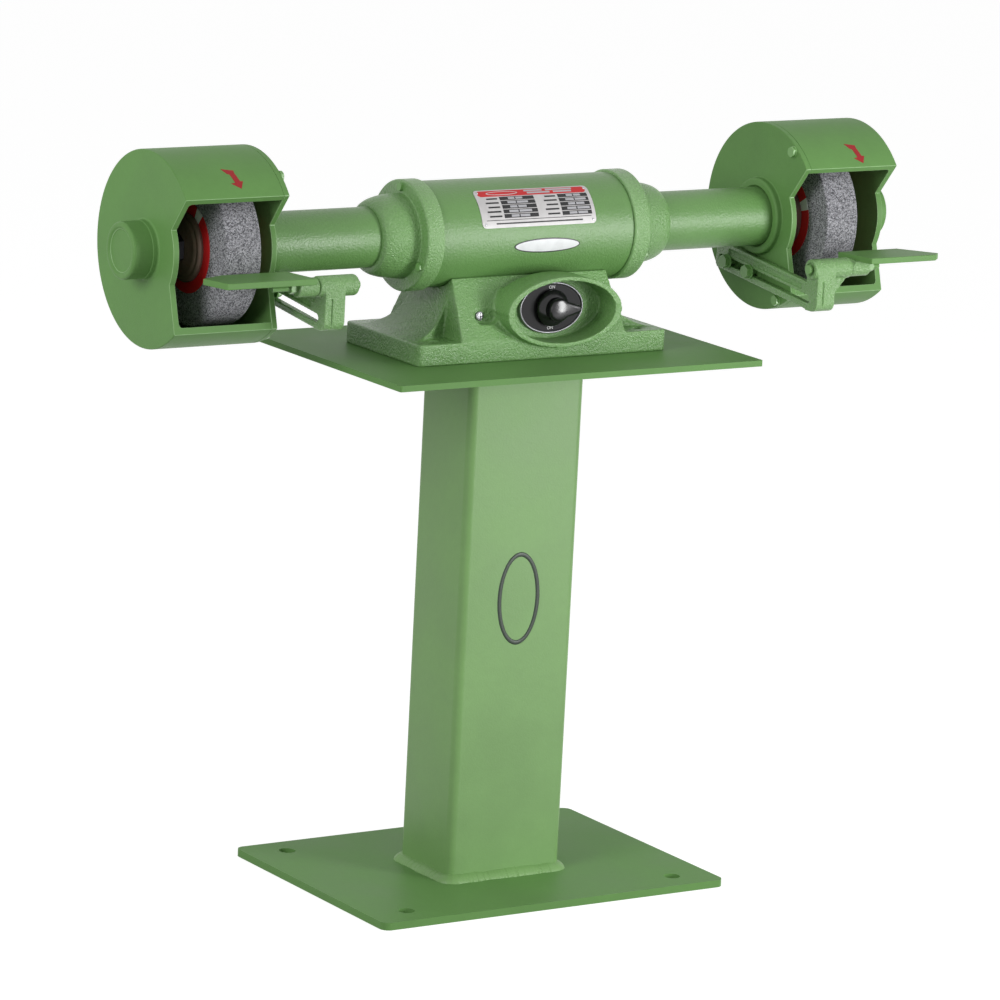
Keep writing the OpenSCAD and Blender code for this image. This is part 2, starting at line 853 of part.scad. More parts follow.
// Tube between the motor and the guard, with the seat of the outer bearing
module pipe() {
    seat_from = bearing_at - bearing_w / 2;
    seat_to = bearing_at + bearing_w / 2;
    seat_r = bearing_d / 2 + fit;
    inner_r = pipe_r - pipe_wall;
    stop_w = 3;
    stop_from = seat_from - 2 * stop_w;
    color("#8bae80")
        turned([
            [pipe_r, pipe_start], [pipe_r, guard_at], [seat_r, guard_at], [seat_r, seat_from],
            [seat_r - stop_w, seat_from], [seat_r - stop_w, stop_from],
            [inner_r, stop_from - stop_w], [inner_r, pipe_start]
        ]);
}

module race_groove() {
    translate([bearing_at, 0, shaft_z])
        rotate([0, 90, 0])
            rotate_extrude()
                translate([ball_pitch_r, 0])
                    circle(r = ball_d / 2 + run, $fn = 32);
}

module bearing_outer() {
    from = bearing_at - bearing_w / 2;
    to = bearing_at + bearing_w / 2;
    color("#c4c7ca")
        difference() {
            bar_x(bearing_d, from, to, 0, shaft_z);
            bar_x(2 * ball_pitch_r + race_gap, from - cut, to + cut, 0, shaft_z);
            race_groove();
        }
}

module bearing_inner() {
    from = bearing_at - bearing_w / 2;
    to = bearing_at + bearing_w / 2;
    color("#c4c7ca")
        difference() {
            bar_x(2 * ball_pitch_r - race_gap, from, to, 0, shaft_z);
            bar_x(shaft_bearing_d + 2 * fit, from - cut, to + cut, 0, shaft_z);
            race_groove();
        }
}

module bearing_balls() {
    color("#dadcde")
        for (i = [0 : ball_count - 1])
            translate([bearing_at, 0, shaft_z])
                rotate([360 * i / ball_count, 0, 0])
                    translate([0, 0, ball_pitch_r])
                        sphere(d = ball_d, $fn = 32);
}

module inner_flange() {
    seat_w = 11;
    relief = 2;
    color("#51453c")
        difference() {
            bar_x(flange_d, shoulder_at, shoulder_at + flange_t, 0, shaft_z);
            bar_x(shaft_end_d + 2 * fit, shoulder_at - cut, wheel_at, 0, shaft_z);
            bar_x(flange_d - 2 * seat_w, shoulder_at + flange_t - relief, wheel_at, 0, shaft_z);
        }
}

module wheel() {
    chamfer = 1.5;
    color("#6f7074")
        turned([
            [shaft_end_d / 2 + fit, wheel_at], [wheel_d / 2 - chamfer, wheel_at],
            [wheel_d / 2, wheel_at + chamfer], [wheel_d / 2, wheel_end - chamfer],
            [wheel_d / 2 - chamfer, wheel_end], [shaft_end_d / 2 + fit, wheel_end]
        ]);
}

module blotters() {
    color("#c8141c")
        for (at = [wheel_at - blotter_t, wheel_end])
            difference() {
                bar_x(blotter_d, at, at + blotter_t, 0, shaft_z);
                bar_x(shaft_end_d + 2 * fit, at - cut, at + blotter_t + cut, 0, shaft_z);
            }
}

// Dished plate under the spindle nut
module outer_flange() {
    at = wheel_end + blotter_t;
    bore_r = shaft_end_d / 2 + fit;
    rim_r = flange_d / 2;
    seat_w = 10;
    rim_t = 4;
    step = 3;
    hub_w = 9;
    color("#51453c")
        turned([
            [bore_r, at + rim_t], [rim_r - seat_w - step, at + rim_t / 2],
            [rim_r - seat_w, at], [rim_r, at], [rim_r, at + rim_t],
            [rim_r - step, at + rim_t + step], [rim_r - 2 * step, at + rim_t + step],
            [rim_r - 3 * step, at + rim_t + 2 * step],
            [bore_r + hub_w, at + flange_t], [bore_r, at + flange_t]
        ]);
}

module spindle_nut() {
    color("#8d9093")
        difference() {
            hex_x(nut_af, nut_at, nut_at + nut_h, 0, shaft_z);
            bar_x(shaft_end_d + 2 * fit, nut_at - cut, shaft_end + cut, 0, shaft_z);
        }
}

// Point well past the rim, on the line from the collar to an end of the opening
function past_rim(collar_a, lip_a) =
    let (at_collar = front_polar(collar_d / 2 - cut, collar_a), at_rim = front_polar(guard_d / 2, lip_a))
    at_collar + 3 * (at_rim - at_collar);

// Side view of the guard's outline, as [y, z], with the opening cut from the front
module guard_outline() {
    difference() {
        circle(d = guard_d, $fn = 128);
        difference() {
            polygon([
                front_polar(collar_d / 2 - cut, collar_up), past_rim(collar_up, lip_up),
                front_polar(guard_d, 0),
                past_rim(-collar_down, -lip_down), front_polar(collar_d / 2 - cut, -collar_down)
            ]);
            circle(d = collar_d);
        }
    }
}

// Guard slice between two distances, standing across the shaft
module guard_slice(from, to) {
    translate([from, 0, shaft_z])
        rotate([90, 0, 90])
            linear_extrude(to - from)
                children();
}

// Inner plate of a guard: collar for the pipe, and bosses that carry the rest arm
module guard_back(arm_face, pivot_y, pivot_drop) {
    shaft_gap = 4;
    collar_len = 10;
    collar_r = pipe_r + 8;
    foot_len = 3;
    foot_r = pipe_r + 12;
    edge = 1;
    color("#53754a")
        difference() {
            union() {
                guard_slice(guard_at, guard_at + guard_wall)
                    guard_outline();
                turned([
                    [pipe_r + fit, guard_at - collar_len], [collar_r - edge, guard_at - collar_len],
                    [collar_r, guard_at - collar_len + edge], [collar_r, guard_at - foot_len - edge],
                    [foot_r, guard_at - foot_len], [foot_r, guard_at + cut], [pipe_r + fit, guard_at + cut]
                ]);
                for (y = clamp_places)
                    bar_x(clamp_boss_d, arm_face, guard_at + cut, y, slot_z(y, pivot_y, pivot_drop));
            }
            bar_x(shaft_bearing_d + 2 * shaft_gap, guard_at - cut, guard_at + 2 * guard_wall, 0, shaft_z);
            bar_x(pipe_d + 2 * fit, 0, guard_at, 0, shaft_z);
            guard_bolt_bars(guard_at - cut, guard_at + guard_wall + cut, guard_bolt_d + 2 * fit);
            for (y = clamp_places)
                bar_x(clamp_bolt_d + 2 * fit, arm_face - cut, guard_end, y, slot_z(y, pivot_y, pivot_drop));
        }
}

// Round bars at the three guard bolts
module guard_bolt_bars(from, to, d) {
    for (i = [0 : 2]) {
        p = front_polar(guard_bolt_r, guard_bolt_angle + 120 * i);
        bar_x(d, from, to, p[0], shaft_z + p[1]);
    }
}

// Drum of a guard, with its hub cup
module guard_cover() {
    from = guard_at + guard_wall;
    boss_len = guard_bolt_grip + 2 * blind;
    boss_d = 2.3 * guard_bolt_d;
    cup_r = cup_d / 2;
    cup_end = guard_end + cup_h;
    fillet = 5;
    rim_r = 3.5;
    rim_w = 8;
    dish = 3;
    color("#6e8e5f")
        difference() {
            union() {
                guard_slice(from, guard_end)
                    difference() {
                        guard_outline();
                        circle(r = guard_d / 2 - guard_wall, $fn = 128);
                    }
                guard_slice(guard_end - guard_wall, guard_end)
                    guard_outline();
                intersection() {
                    guard_bolt_bars(from, from + boss_len, boss_d);
                    bar_x(guard_d - cut, from, from + boss_len, 0, shaft_z);
                }
                turned(concat(
                    [[0, guard_end - cut], [cup_r + fillet, guard_end - cut], [cup_r + fillet, guard_end]],
                    [[cup_r + fillet / 3, guard_end + fillet / 3], [cup_r, guard_end + fillet]],
                    arc([cup_r - rim_r, cup_end - rim_r], rim_r, 0, 180, 8),
                    [[cup_r - rim_w, cup_end - dish], [0, cup_end - dish]]
                ));
            }
            bar_x(cup_d - 2 * guard_wall, guard_end - guard_wall - cut, cup_end - guard_wall, 0, shaft_z);
            guard_bolt_bars(from - cut, from + guard_bolt_grip + blind, guard_bolt_d + 2 * fit);
        }
}

module guard_bolts() {
    color("#6f8a62")
        for (i = [0 : 2]) {
            p = front_polar(guard_bolt_r, guard_bolt_angle + 120 * i);
            z = shaft_z + p[1];
            bar_x(guard_bolt_d, guard_at, guard_at + guard_wall + guard_bolt_grip, p[0], z);
            hex_x(head_af * guard_bolt_d, guard_at - head_h * guard_bolt_d, guard_at, p[0], z);
        }
}

// Height of the middle of an arm's slot at a place front to back
function slot_z(y, pivot_y, pivot_drop) = shaft_z - pivot_drop - boss_rise + (y + pivot_y) * tan(arm_slope);

// Moves a piece drawn about the pivot to the place of a rest's pivot
module at_pivot(x, pivot_y, pivot_drop) {
    translate([x, -pivot_y, shaft_z - pivot_drop])
        children();
}

// Side view of an arm as [y, z] about the pivot, tilted with the slope
module arm_outline() {
    end_r = (arm_above + arm_below) / 3;
    end_wall = 7;
    arm_len = slot_rear + arm_slot_w / 2 + end_wall;
    translate([0, -boss_rise])
        rotate(arm_slope)
            difference() {
                union() {
                    translate([0, -arm_below])
                        square([arm_len - end_r, arm_above + arm_below]);
                    translate([0, -arm_below])
                        square([arm_len, arm_above + arm_below - end_r]);
                    translate([arm_len - end_r, arm_above - end_r])
                        circle(r = end_r);
                }
                translate([slot_front, -arm_slot_w / 2])
                    square([slot_rear - slot_front, arm_slot_w]);
                for (u = [slot_front, slot_rear])
                    translate([u, 0])
                        circle(d = arm_slot_w);
            }
}

// Front post of an arm as [y, z] about the pivot
module post_outline() {
    foot_r = 8;
    low = -boss_rise - arm_below;
    translate([-boss_d / 2, low + foot_r])
        square([post_y, boss_rise + arm_below - foot_r]);
    translate([-boss_d / 2 + foot_r, low])
        square([post_y - foot_r, boss_rise + arm_below]);
    translate([-boss_d / 2 + foot_r, low + foot_r])
        circle(r = foot_r);
}

// Slotted arm with its post and pivot boss, from its left face at x = 0
module rest_arm(boss_from, boss_len) {
    groove = 2.5;
    color("#6f8f5c")
        difference() {
            union() {
                rotate([90, 0, 90])
                    linear_extrude(arm_t)
                        arm_outline();
                rotate([90, 0, 90])
                    linear_extrude(arm_t + post_w)
                        post_outline();
                bar_x(boss_d, boss_from, boss_from + boss_len);
                boss_rib(boss_from + boss_len);
            }
            bar_x(pivot_d + 2 * fit, boss_from - cut, boss_from + boss_len + cut);
            for (x = [-cut, arm_t - groove])
                translate([x, 0, 0])
                    rotate([90, 0, 90])
                        linear_extrude(groove + cut)
                            arm_groove();
        }
}

// Long groove above the slot, as [y, z] about the pivot
module arm_groove() {
    top_rim = 5;
    band = 4;
    end_gap = 15;
    translate([0, -boss_rise])
        rotate(arm_slope)
            translate([slot_front + end_gap, arm_slot_w / 2 + band])
                square([slot_rear - slot_front - 2 * end_gap, arm_above - arm_slot_w / 2 - band - top_rim]);
}

// Triangular rib under the free end of a long pivot boss
module boss_rib(boss_end) {
    from = arm_t + post_w;
    rib_y = 12;
    rib_low = -boss_d - 10;
    if (boss_end > from + rib_y)
        translate([0, rib_y / 2, 0])
            rotate([90, 0, 0])
                linear_extrude(rib_y)
                    polygon([
                        [from - cut, rib_low], [from, rib_low],
                        [boss_end, -boss_d / 4], [from - cut, 0]
                    ]);
}

// Table with its hub about the pivot, from a plan as [x, y]
module rest_table(plan, hub_from) {
    color("#5f8050")
        difference() {
            union() {
                translate([0, 0, table_rise - table_t])
                    linear_extrude(table_t)
                        polygon(plan);
                bar_x(hub_d, hub_from, hub_from + hub_len);
            }
            bar_x(pivot_d + 2 * fit, hub_from - cut, hub_from + hub_len + cut);
        }
}

// Stud with its head, nut and free thread, from the head's face outwards
module rest_pivot(head_at, hub_end, tail) {
    nut_at_x = hub_end + slide;
    nut_len = 9;
    color("#93a089") {
        bar_x(pivot_d, head_at - cut, hub_end + tail);
        bar_x(head_af * pivot_d, head_at - pivot_d / 2, head_at);
        hex_x(head_af * pivot_d, nut_at_x, nut_at_x + nut_len);
    }
}

// Bolts that clamp an arm against the guard, on the side of the motor
module rest_clamp_bolts(arm_face, pivot_y, pivot_drop) {
    washer_t = 2;
    washer_d = 2.1 * clamp_bolt_d;
    seat = arm_face - slide;
    head = seat - washer_t;
    color("#7f9473")
        for (y = clamp_places) {
            z = slot_z(y, pivot_y, pivot_drop);
            bar_x(clamp_bolt_d, head, guard_at + guard_wall, y, z);
            bar_x(washer_d, head, seat, y, z);
            hex_x(head_af * clamp_bolt_d, head - head_h * clamp_bolt_d, head, y, z);
        }
}

// Thin plate wrapped on the barrel, between two angles above the front
module barrel_sheet(x0, x1, a0, a1, t) {
    intersection() {
        difference() {
            bar_x(barrel_d + 2 * t, x0, x1, 0, shaft_z);
            bar_x(barrel_d, x0 - cut, x1 + cut, 0, shaft_z);
        }
        translate([x0, 0, shaft_z])
            rotate([90, 0, 90])
                linear_extrude(x1 - x0)
                    polygon([
                        [0, 0], front_polar(barrel_d, a0),
                        front_polar(1.5 * barrel_d, (a0 + a1) / 2), front_polar(barrel_d, a1)
                    ]);
    }
}

module nameplate() {
    color("#c8c8c8")
        difference() {
            barrel_sheet(-nameplate_w / 2, nameplate_w / 2, nameplate_low, nameplate_high, plate_t);
            rivet_bars(-barrel_wall / 2, barrel_wall / 2, rivet_d + 2 * fit);
        }
}

// Radial bars at the four corners of the nameplate, between two heights above the barrel
module rivet_bars(from, to, d) {
    in_x = 5;
    in_angle = 4;
    for (sx = [-1, 1], a = [nameplate_low + in_angle, nameplate_high - in_angle])
        translate([sx * (nameplate_w / 2 - in_x), 0, shaft_z])
            rotate([90 - a, 0, 0])
                translate([0, 0, barrel_d / 2 + from])
                    cylinder(d = d, h = to - from, $fn = 24);
}

module nameplate_rivets() {
    color("#d6d6d6")
        rivet_bars(slide, 2 * plate_t, rivet_d);
}

module motor_badge() {
    reach = 45;
    half_w = motor_badge_w / 2 + cut;
    color("#e6e8e4")
        intersection() {
            barrel_sheet(motor_badge_x - half_w, motor_badge_x + half_w, -reach, reach, plate_t);
            translate([motor_badge_x, 0, shaft_z - motor_badge_drop])
                rotate([90, 0, 0])
                    linear_extrude(barrel_d)
                        polygon(oval(motor_badge_w, motor_badge_h));
        }
}

module column_badge() {
    badge_t = 1;
    band = 7;
    color("#28402c")
        translate([0, -column_y / 2, column_badge_z])
            rotate([90, 0, 0])
                linear_extrude(badge_t)
                    difference() {
                        polygon(oval(column_badge_w, column_badge_h));
                        polygon(oval(column_badge_w - 2 * band, column_badge_h - 2 * band));
                    }
}

module switch_body() {
    stem_room = stem_len + blind;
    color("#232323")
        translate([switch_x - switch_body_w / 2, -dial_back, shaft_z - switch_drop - switch_body_w / 2])
            difference() {
                cube(switch_body_w);
                translate([switch_body_w / 2, -cut, switch_body_w / 2])
                    rotate([-90, 0, 0])
                        cylinder(d = knob_stem_d + 2 * run, h = stem_room + cut);
            }
}

module switch_dial() {
    color("#1c1c1c")
        difference() {
            oval_bar(dial_x, dial_z, dial_back + dial_t, dial_back);
            translate([switch_x, -dial_back, shaft_z - switch_drop])
                rotate([90, 0, 0])
                    translate([0, 0, -cut])
                        cylinder(d = knob_stem_d + 2 * run, h = dial_t + 2 * cut);
        }
}

module switch_bezel() {
    bezel_w = 3;
    bezel_front = dial_back + dial_t + 2;
    color("#d0d2d3")
        difference() {
            oval_bar(dial_x + 2 * bezel_w, dial_z + 2 * bezel_w, bezel_front, dial_back);
            oval_bar(dial_x, dial_z, bezel_front + cut, dial_back - cut);
        }
}

// Knob that turns about a line front to back
module switch_knob() {
    seat = dial_back + dial_t + run;
    base_h = 8;
    cap_h = 14;
    cap_in = 3;
    handle_w = 12;
    handle_h = 16;
    straight = handle_len - handle_w / 2;
    color("#262626")
        translate([switch_x, -seat, shaft_z - switch_drop])
            rotate([90, 0, 0]) {
                cylinder(d = knob_d, h = base_h);
                cylinder(d = knob_d - 2 * cap_in, h = cap_h);
                translate([0, 0, -dial_t - run - stem_len])
                    cylinder(d = knob_stem_d, h = dial_t + run + stem_len + cut);
                translate([0, -handle_w / 2, base_h])
                    cube([straight, handle_w, handle_h]);
                translate([straight, 0, base_h])
                    cylinder(d = handle_w, h = handle_h);
            }
}

base_plate();
column();
top_plate();
foot_bolts();
motor_foot();
terminal_block();
cable_gland();
stator_frame();
stator_core();
stator_windings();
rotor_core();
shaft();
nameplate();
nameplate_rivets();
motor_badge();
column_badge();
switch_body();
switch_bezel();
switch_dial();
switch_knob();
foot_screw();
side(-1) end_bell();  // left_end_bell
side(-1) end_bell_bolts();  // left_end_bell_bolts
side(-1) pipe();  // left_pipe
side(-1) bearing_outer();  // left_bearing_outer
side(-1) bearing_inner();  // left_bearing_inner
side(-1) bearing_balls();  // left_bearing_balls
side(-1) guard_back(left_arm_at + arm_t + slide, left_pivot_y, left_pivot_drop);  // left_guard_back
side(-1) guard_cover();  // left_guard_cover
side(-1) guard_bolts();  // left_guard_bolts
side(-1) inner_flange();  // left_inner_flange
side(-1) wheel();  // left_wheel
side(-1) blotters();  // left_blotters
side(-1) outer_flange();  // left_outer_flange
side(-1) spindle_nut();  // left_spindle_nut
side(-1) rest_clamp_bolts(left_arm_at, left_pivot_y, left_pivot_drop);  // left_rest_clamp_bolts
side(-1) at_pivot(0, left_pivot_y, left_pivot_drop) rest_table(left_plan, left_hub_at);  // left_rest_table
at_pivot(-left_arm_at - arm_t, left_pivot_y, left_pivot_drop) rest_arm(-left_boss_out, left_boss_len);  // left_rest_arm
side(-1) at_pivot(0, left_pivot_y, left_pivot_drop)  // left_rest_pivot
        rest_pivot(left_boss_at - left_boss_len, left_hub_at + hub_len, left_stud_tail);
side(1) end_bell();  // right_end_bell
side(1) end_bell_bolts();  // right_end_bell_bolts
side(1) pipe();  // right_pipe
side(1) bearing_outer();  // right_bearing_outer
side(1) bearing_inner();  // right_bearing_inner
side(1) bearing_balls();  // right_bearing_balls
side(1) guard_back(right_arm_at + arm_t + slide, right_pivot_y, right_pivot_drop);  // right_guard_back
side(1) guard_cover();  // right_guard_cover
side(1) guard_bolts();  // right_guard_bolts
side(1) inner_flange();  // right_inner_flange
side(1) wheel();  // right_wheel
side(1) blotters();  // right_blotters
side(1) outer_flange();  // right_outer_flange
side(1) spindle_nut();  // right_spindle_nut
side(1) rest_clamp_bolts(right_arm_at, right_pivot_y, right_pivot_drop);  // right_rest_clamp_bolts
side(1) at_pivot(0, right_pivot_y, right_pivot_drop) rest_table(right_plan, right_hub_at);  // right_rest_table
at_pivot(right_arm_at, right_pivot_y, right_pivot_drop) rest_arm(-right_boss_out, right_boss_len);  // right_rest_arm
side(1) at_pivot(0, right_pivot_y, right_pivot_drop)  // right_rest_pivot
        rest_pivot(right_boss_at, right_hub_at + hub_len, right_stud_tail);
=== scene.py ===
"""Dresses the packed pedestal grinder: castings, turned parts, wheels, plates, finishes, stage and camera."""
import json
import math

import bmesh
import bpy
from bpy.props import FloatProperty, FloatVectorProperty, IntProperty, PointerProperty
from mathutils import Matrix, Vector, noise

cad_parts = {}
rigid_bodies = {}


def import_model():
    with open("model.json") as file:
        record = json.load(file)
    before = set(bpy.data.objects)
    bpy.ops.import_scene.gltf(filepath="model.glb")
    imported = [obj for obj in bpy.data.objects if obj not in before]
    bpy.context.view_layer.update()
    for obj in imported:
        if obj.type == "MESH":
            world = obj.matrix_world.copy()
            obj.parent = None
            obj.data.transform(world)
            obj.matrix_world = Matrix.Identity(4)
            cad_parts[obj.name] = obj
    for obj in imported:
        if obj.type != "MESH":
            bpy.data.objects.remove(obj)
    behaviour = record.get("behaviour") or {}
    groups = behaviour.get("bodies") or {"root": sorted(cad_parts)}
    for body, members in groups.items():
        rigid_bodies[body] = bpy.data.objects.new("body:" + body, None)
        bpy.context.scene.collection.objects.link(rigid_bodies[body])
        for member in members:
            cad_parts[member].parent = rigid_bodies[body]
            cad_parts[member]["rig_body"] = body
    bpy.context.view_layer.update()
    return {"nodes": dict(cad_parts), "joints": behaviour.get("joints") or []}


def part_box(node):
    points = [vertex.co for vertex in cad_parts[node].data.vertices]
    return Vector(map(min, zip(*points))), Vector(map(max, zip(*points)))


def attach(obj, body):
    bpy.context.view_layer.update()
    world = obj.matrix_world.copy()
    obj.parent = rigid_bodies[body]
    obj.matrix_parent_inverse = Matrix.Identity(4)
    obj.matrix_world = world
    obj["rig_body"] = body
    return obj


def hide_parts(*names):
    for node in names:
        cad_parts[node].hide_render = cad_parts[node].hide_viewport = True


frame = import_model()

bl_info = {
    "name": "Pedestal grinder",
    "version": (1, 0, 0),
    "blender": (4, 5, 0),
    "location": "View3D > Sidebar > Grinder",
    "description": "Builds the finished look of a double-ended pedestal grinder around its frame",
    "category": "Object",
}

# One millimetre in scene units
MM = 0.001
NODES = frame["nodes"]
JOINT_AT = {joint["name"]: joint.get("pos_m") for joint in frame["joints"]}
SIDES = (("left", -1), ("right", 1))


def low(node):
    """Lowest corner of a CAD node in millimetres."""
    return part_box(node)[0] / MM


def high(node):
    """Highest corner of a CAD node in millimetres."""
    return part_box(node)[1] / MM


def span(node, axis):
    """Size of a CAD node along an axis in millimetres."""
    return (high(node) - low(node))[axis]


def centre(node):
    """Middle of a CAD node in millimetres, as numbers."""
    return [(one + other) / 2 for one, other in zip(low(node), high(node))]


def corners(x, y):
    """Four places, either side of the middle."""
    return [(a * x, b * y) for a in (-1, 1) for b in (-1, 1)]


SHAFT_Z = centre("right_wheel")[2]
PLATE_TOP = high("top_plate").z
BARREL_R = span("stator_frame", 1) / 2
BARREL_END = high("stator_frame").x
PIPE_R = span("right_pipe", 1) / 2
GUARD_R = high("right_guard_cover").y
GUARD_START = low("right_guard_cover").x
FLOOR_HOLES = corners(206.5, 151.5)
FOOT_BOLTS = corners(156, 70)
# Distances from the middle of the machine to the arms' near faces, the ends of the tables' hubs and the tables
ARM_X = {"left": 353, "right": 382}
HUB_X = {"left": (369.3, 398.3), "right": (439.3, 468.3)}
TABLE_X = {"left": 386, "right": 440}
# The photograph's camera: place in millimetres, then yaw, pitch and roll in degrees
CAMERA_AT = (-3914.26, -6005.39, 2044.57)
CAMERA_TURN = (33.12, -12.13, 2.92)


def length(name, text, default, least=0.0):
    """Length property whose default is written in millimetres."""
    return FloatProperty(
        name=name, description=text, default=default * MM, min=least, unit="LENGTH", subtype="DISTANCE"
    )


def angle(name, text, default):
    """Angle property whose default is written in degrees."""
    return FloatProperty(name=name, description=text, default=math.radians(default), subtype="ANGLE")


def tint(name, text, red, green, blue):
    """Colour property whose default is written as it is seen, from 0 to 255."""
    return FloatVectorProperty(
        name=name, description=text, default=linear(red, green, blue), size=3, min=0, max=1, subtype="COLOR"
    )


def linear(red, green, blue):
    """Linear colour of a colour as it is seen, from 0 to 255."""
    def one(value):
        share = value / 255
        return share / 12.92 if share <= 0.04045 else ((share + 0.055) / 1.055) ** 2.4

    return one(red), one(green), one(blue)


class FinishSettings(bpy.types.PropertyGroup):
    """Colours and textures of the machine's finishes."""

    paint: tint("Paint", "Green paint on plates and tubes", 99, 141, 79)
    # Lighter copy of the green paint: painted light standing in for brighter light on the column
    column_paint: tint("Paint on the column", "Lighter green paint on the column's tube", 112, 151, 90)
    # Lighter copy of the green paint: painted light standing in for brighter light on the castings
    cast_paint: tint("Paint on castings", "Green paint on rough castings", 108, 152, 87)
    # Lighter paint for edges and dimple tops: worn, thinned paint and a painted highlight
    worn: tint("Worn paint", "Paint thinned along the edges", 150, 190, 132)
    grain: length("Grain", "Size of the grain on sand castings", 1.3)
    dimple: length("Dimple", "Size of the dimples of hammered paint", 2.8)
    stone_dark: tint("Dark grit", "Dark grit of the wheels", 60, 60, 65)
    stone_light: tint("Light grit", "Light grit of the wheels", 168, 168, 173)
    grit: length("Grit", "Size of the grit of the wheels", 1.35)
    label_red: tint("Red", "Red of the paper discs and the arrows", 205, 22, 28)
    flange_brown: tint("Flange", "Brown steel of the wheel flanges", 116, 96, 86)


class PlateSettings(bpy.types.PropertyGroup):
    """Sizes of the floor plate, the top plate and the column."""

    edge: length("Edge", "Round along the edges of the plates", 1.2)
    base_corner: length("Base corner", "Corner radius of the floor plate", 12)
    top_corner: length("Top corner", "Corner radius of the top plate", 3)
    column_corner: length("Column corner", "Outer corner radius of the column", 11)
    column_wall: length("Column wall", "Wall of the column tube", 5)
    weld_leg: length("Weld", "Leg length of the weld beads", 8)
    weld_ripple: length("Ripple", "Height of the ripples on the weld beads", 0.7)
    cable_hole: length("Cable hole", "Diameter of the cable hole in the top plate", 40)
    floor_hole: length("Floor hole", "Diameter of the floor holes", 22)
    bolt_hole: length("Bolt hole", "Diameter of the holes for the foot's bolts", 12.2)


class FootSettings(bpy.types.PropertyGroup):
    """Sizes of the motor foot casting."""

    flange_h: length("Flange", "Height of the flange", 28)
    corner: length("Corner", "Vertical corner radius of the flange", 8)
    saddle_x: length("Saddle length", "Length of the saddle's top along the shaft", 236)
    saddle_y: length("Saddle depth", "Depth of the saddle's top", 90)
    lean: length("Lean", "Lean of the saddle's ends at its foot", 10)
    web_y: length("Web", "Depth of the end webs at the saddle", 84)
    web_end_y: length("Web end", "Depth of the end webs at the ends of the flange", 146)
    wall: length("Wall", "Wall of the casting", 7)
    cup_x: length("Cup width", "Width of the oval switch cup", 175)
    cup_z: length("Cup height", "Height of the oval switch cup", 92)
    cup_rim_x: length("Rim sides", "Width of the cup's rim at its sides", 10)
    cup_rim_z: length("Rim top", "Width of the cup's rim at its top and bottom", 5.5)
    cup_front: length("Cup front", "Distance of the cup's rim in front of the shaft", 104)
    cup_depth: length("Cup depth", "Depth of the cup behind its rim", 38)
    voxel: length("Skin", "Fineness of the casting's skin", 1.3)


class MotorSettings(bpy.types.PropertyGroup):
    """Sizes of the barrel, the end bells and the plates on the motor."""

    bell_face: length("Flange", "Thickness of the end bell flanges", 25)
    neck_d: length("Neck", "Diameter of the end bell's nose", 84)
    bolt_r: length("Bolt circle", "Pitch radius of the end bell bolts", 63)
    bolt_d: length("Bolt", "Diameter of the end bell bolts", 6)
    rib_t: length("Line", "Width of the line between barrel and bell", 0.8)
    plate_low: angle("Plate low", "Lower edge of the nameplate above the front", 13)
    plate_high: angle("Plate high", "Upper edge of the nameplate above the front", 59)


class GuardSettings(bpy.types.PropertyGroup):
    """Sizes of the wheel guards."""

    wall: length("Wall", "Thickness of the guard castings", 8)
    face: length("Face", "Distance of the outer face from the middle of the machine", 542)
    collar_d: length("Collar", "Diameter of the collar at the opening", 146)
    lip_up: angle("Upper lip", "Upper end of the opening above the front", 38)
    lip_down: angle("Lower lip", "Lower end of the opening below the front", 49)
    collar_up: angle("Upper collar", "Opening at the collar above the front", 28)
    collar_down: angle("Lower collar", "Opening at the collar below the front", 27)
    edge: length("Edge", "Round along the opening", 1.5)
    rim: length("Rim", "Round between disc and drum", 1.6)
    cup_d: length("Cup", "Diameter of the hub cup", 73)
    bolt_r: length("Bolt circle", "Pitch radius of the guard bolts", 117)
    bolt_angle: angle("First bolt", "Angle of the first guard bolt above the front", 55)
    bolt_d: length("Bolt", "Diameter of the guard bolts", 8)
    steps: IntProperty(name="Steps", description="Steps round a guard", default=150, min=24)


class RestSettings(bpy.types.PropertyGroup):
    """Sizes of the tool rests."""

    arm_t: length("Arm", "Thickness of the rest arms", 9)
    above: length("Above", "Height of the arm above the middle of its slot", 22)
    below: length("Below", "Height of the arm below the middle of its slot", 14)
    slope: angle("Slope", "Slope of the arms down to the front", 6)
    slot_w: length("Slot", "Width of the slot", 10.6)
    slot_front: length("Slot front", "Distance from the pivot to the front end of the slot", 9)
    slot_rear: length("Slot rear", "Distance from the pivot to the rear end of the slot", 210)
    post_w: length("Post", "Width of the post", 20)
    post_y: length("Post depth", "Depth of the post", 26)
    boss_rise: length("Boss rise", "Height of the pivot above the middle of the slot", 42)
    boss_d: length("Boss", "Diameter of the pivot boss", 27)
    clamp_d: length("Clamp bolt", "Diameter of the clamp bolts", 10)
    clamp_rear: length("Clamp place", "Distance of the rear clamp bolt behind the shaft", 52)
    clamp_pitch: length("Clamp pitch", "Spacing of the clamp bolts", 51)
    table_t: length("Table", "Thickness of the tables", 8)
    hub_d: length("Hub", "Diameter of the table hubs", 24)
    pivot_d: length("Stud", "Diameter of the pivot studs", 8)
    voxel: length("Skin", "Fineness of the castings' skin", 0.85)


class SwitchSettings(bpy.types.PropertyGroup):
    """Sizes of the switch."""

    knob_d: length("Knob", "Diameter of the knob", 48)
    handle: length("Handle", "Length of the knob's handle from its middle", 34)
    letter: length("Letters", "Height of the marks on the dial", 6)


class StageSettings(bpy.types.PropertyGroup):
    """Camera and light."""

    lens: FloatProperty(name="Lens", description="Focal length in millimetres", default=201.68, min=1)
    key: FloatProperty(
        name="Key light", description="Power of the front light", default=70, min=0, unit="POWER"
    )
    side: FloatProperty(
        name="Side light", description="Power of the left light", default=62, min=0, unit="POWER"
    )
    fill: FloatProperty(name="World light", description="Strength of the world's light", default=0.46, min=0)


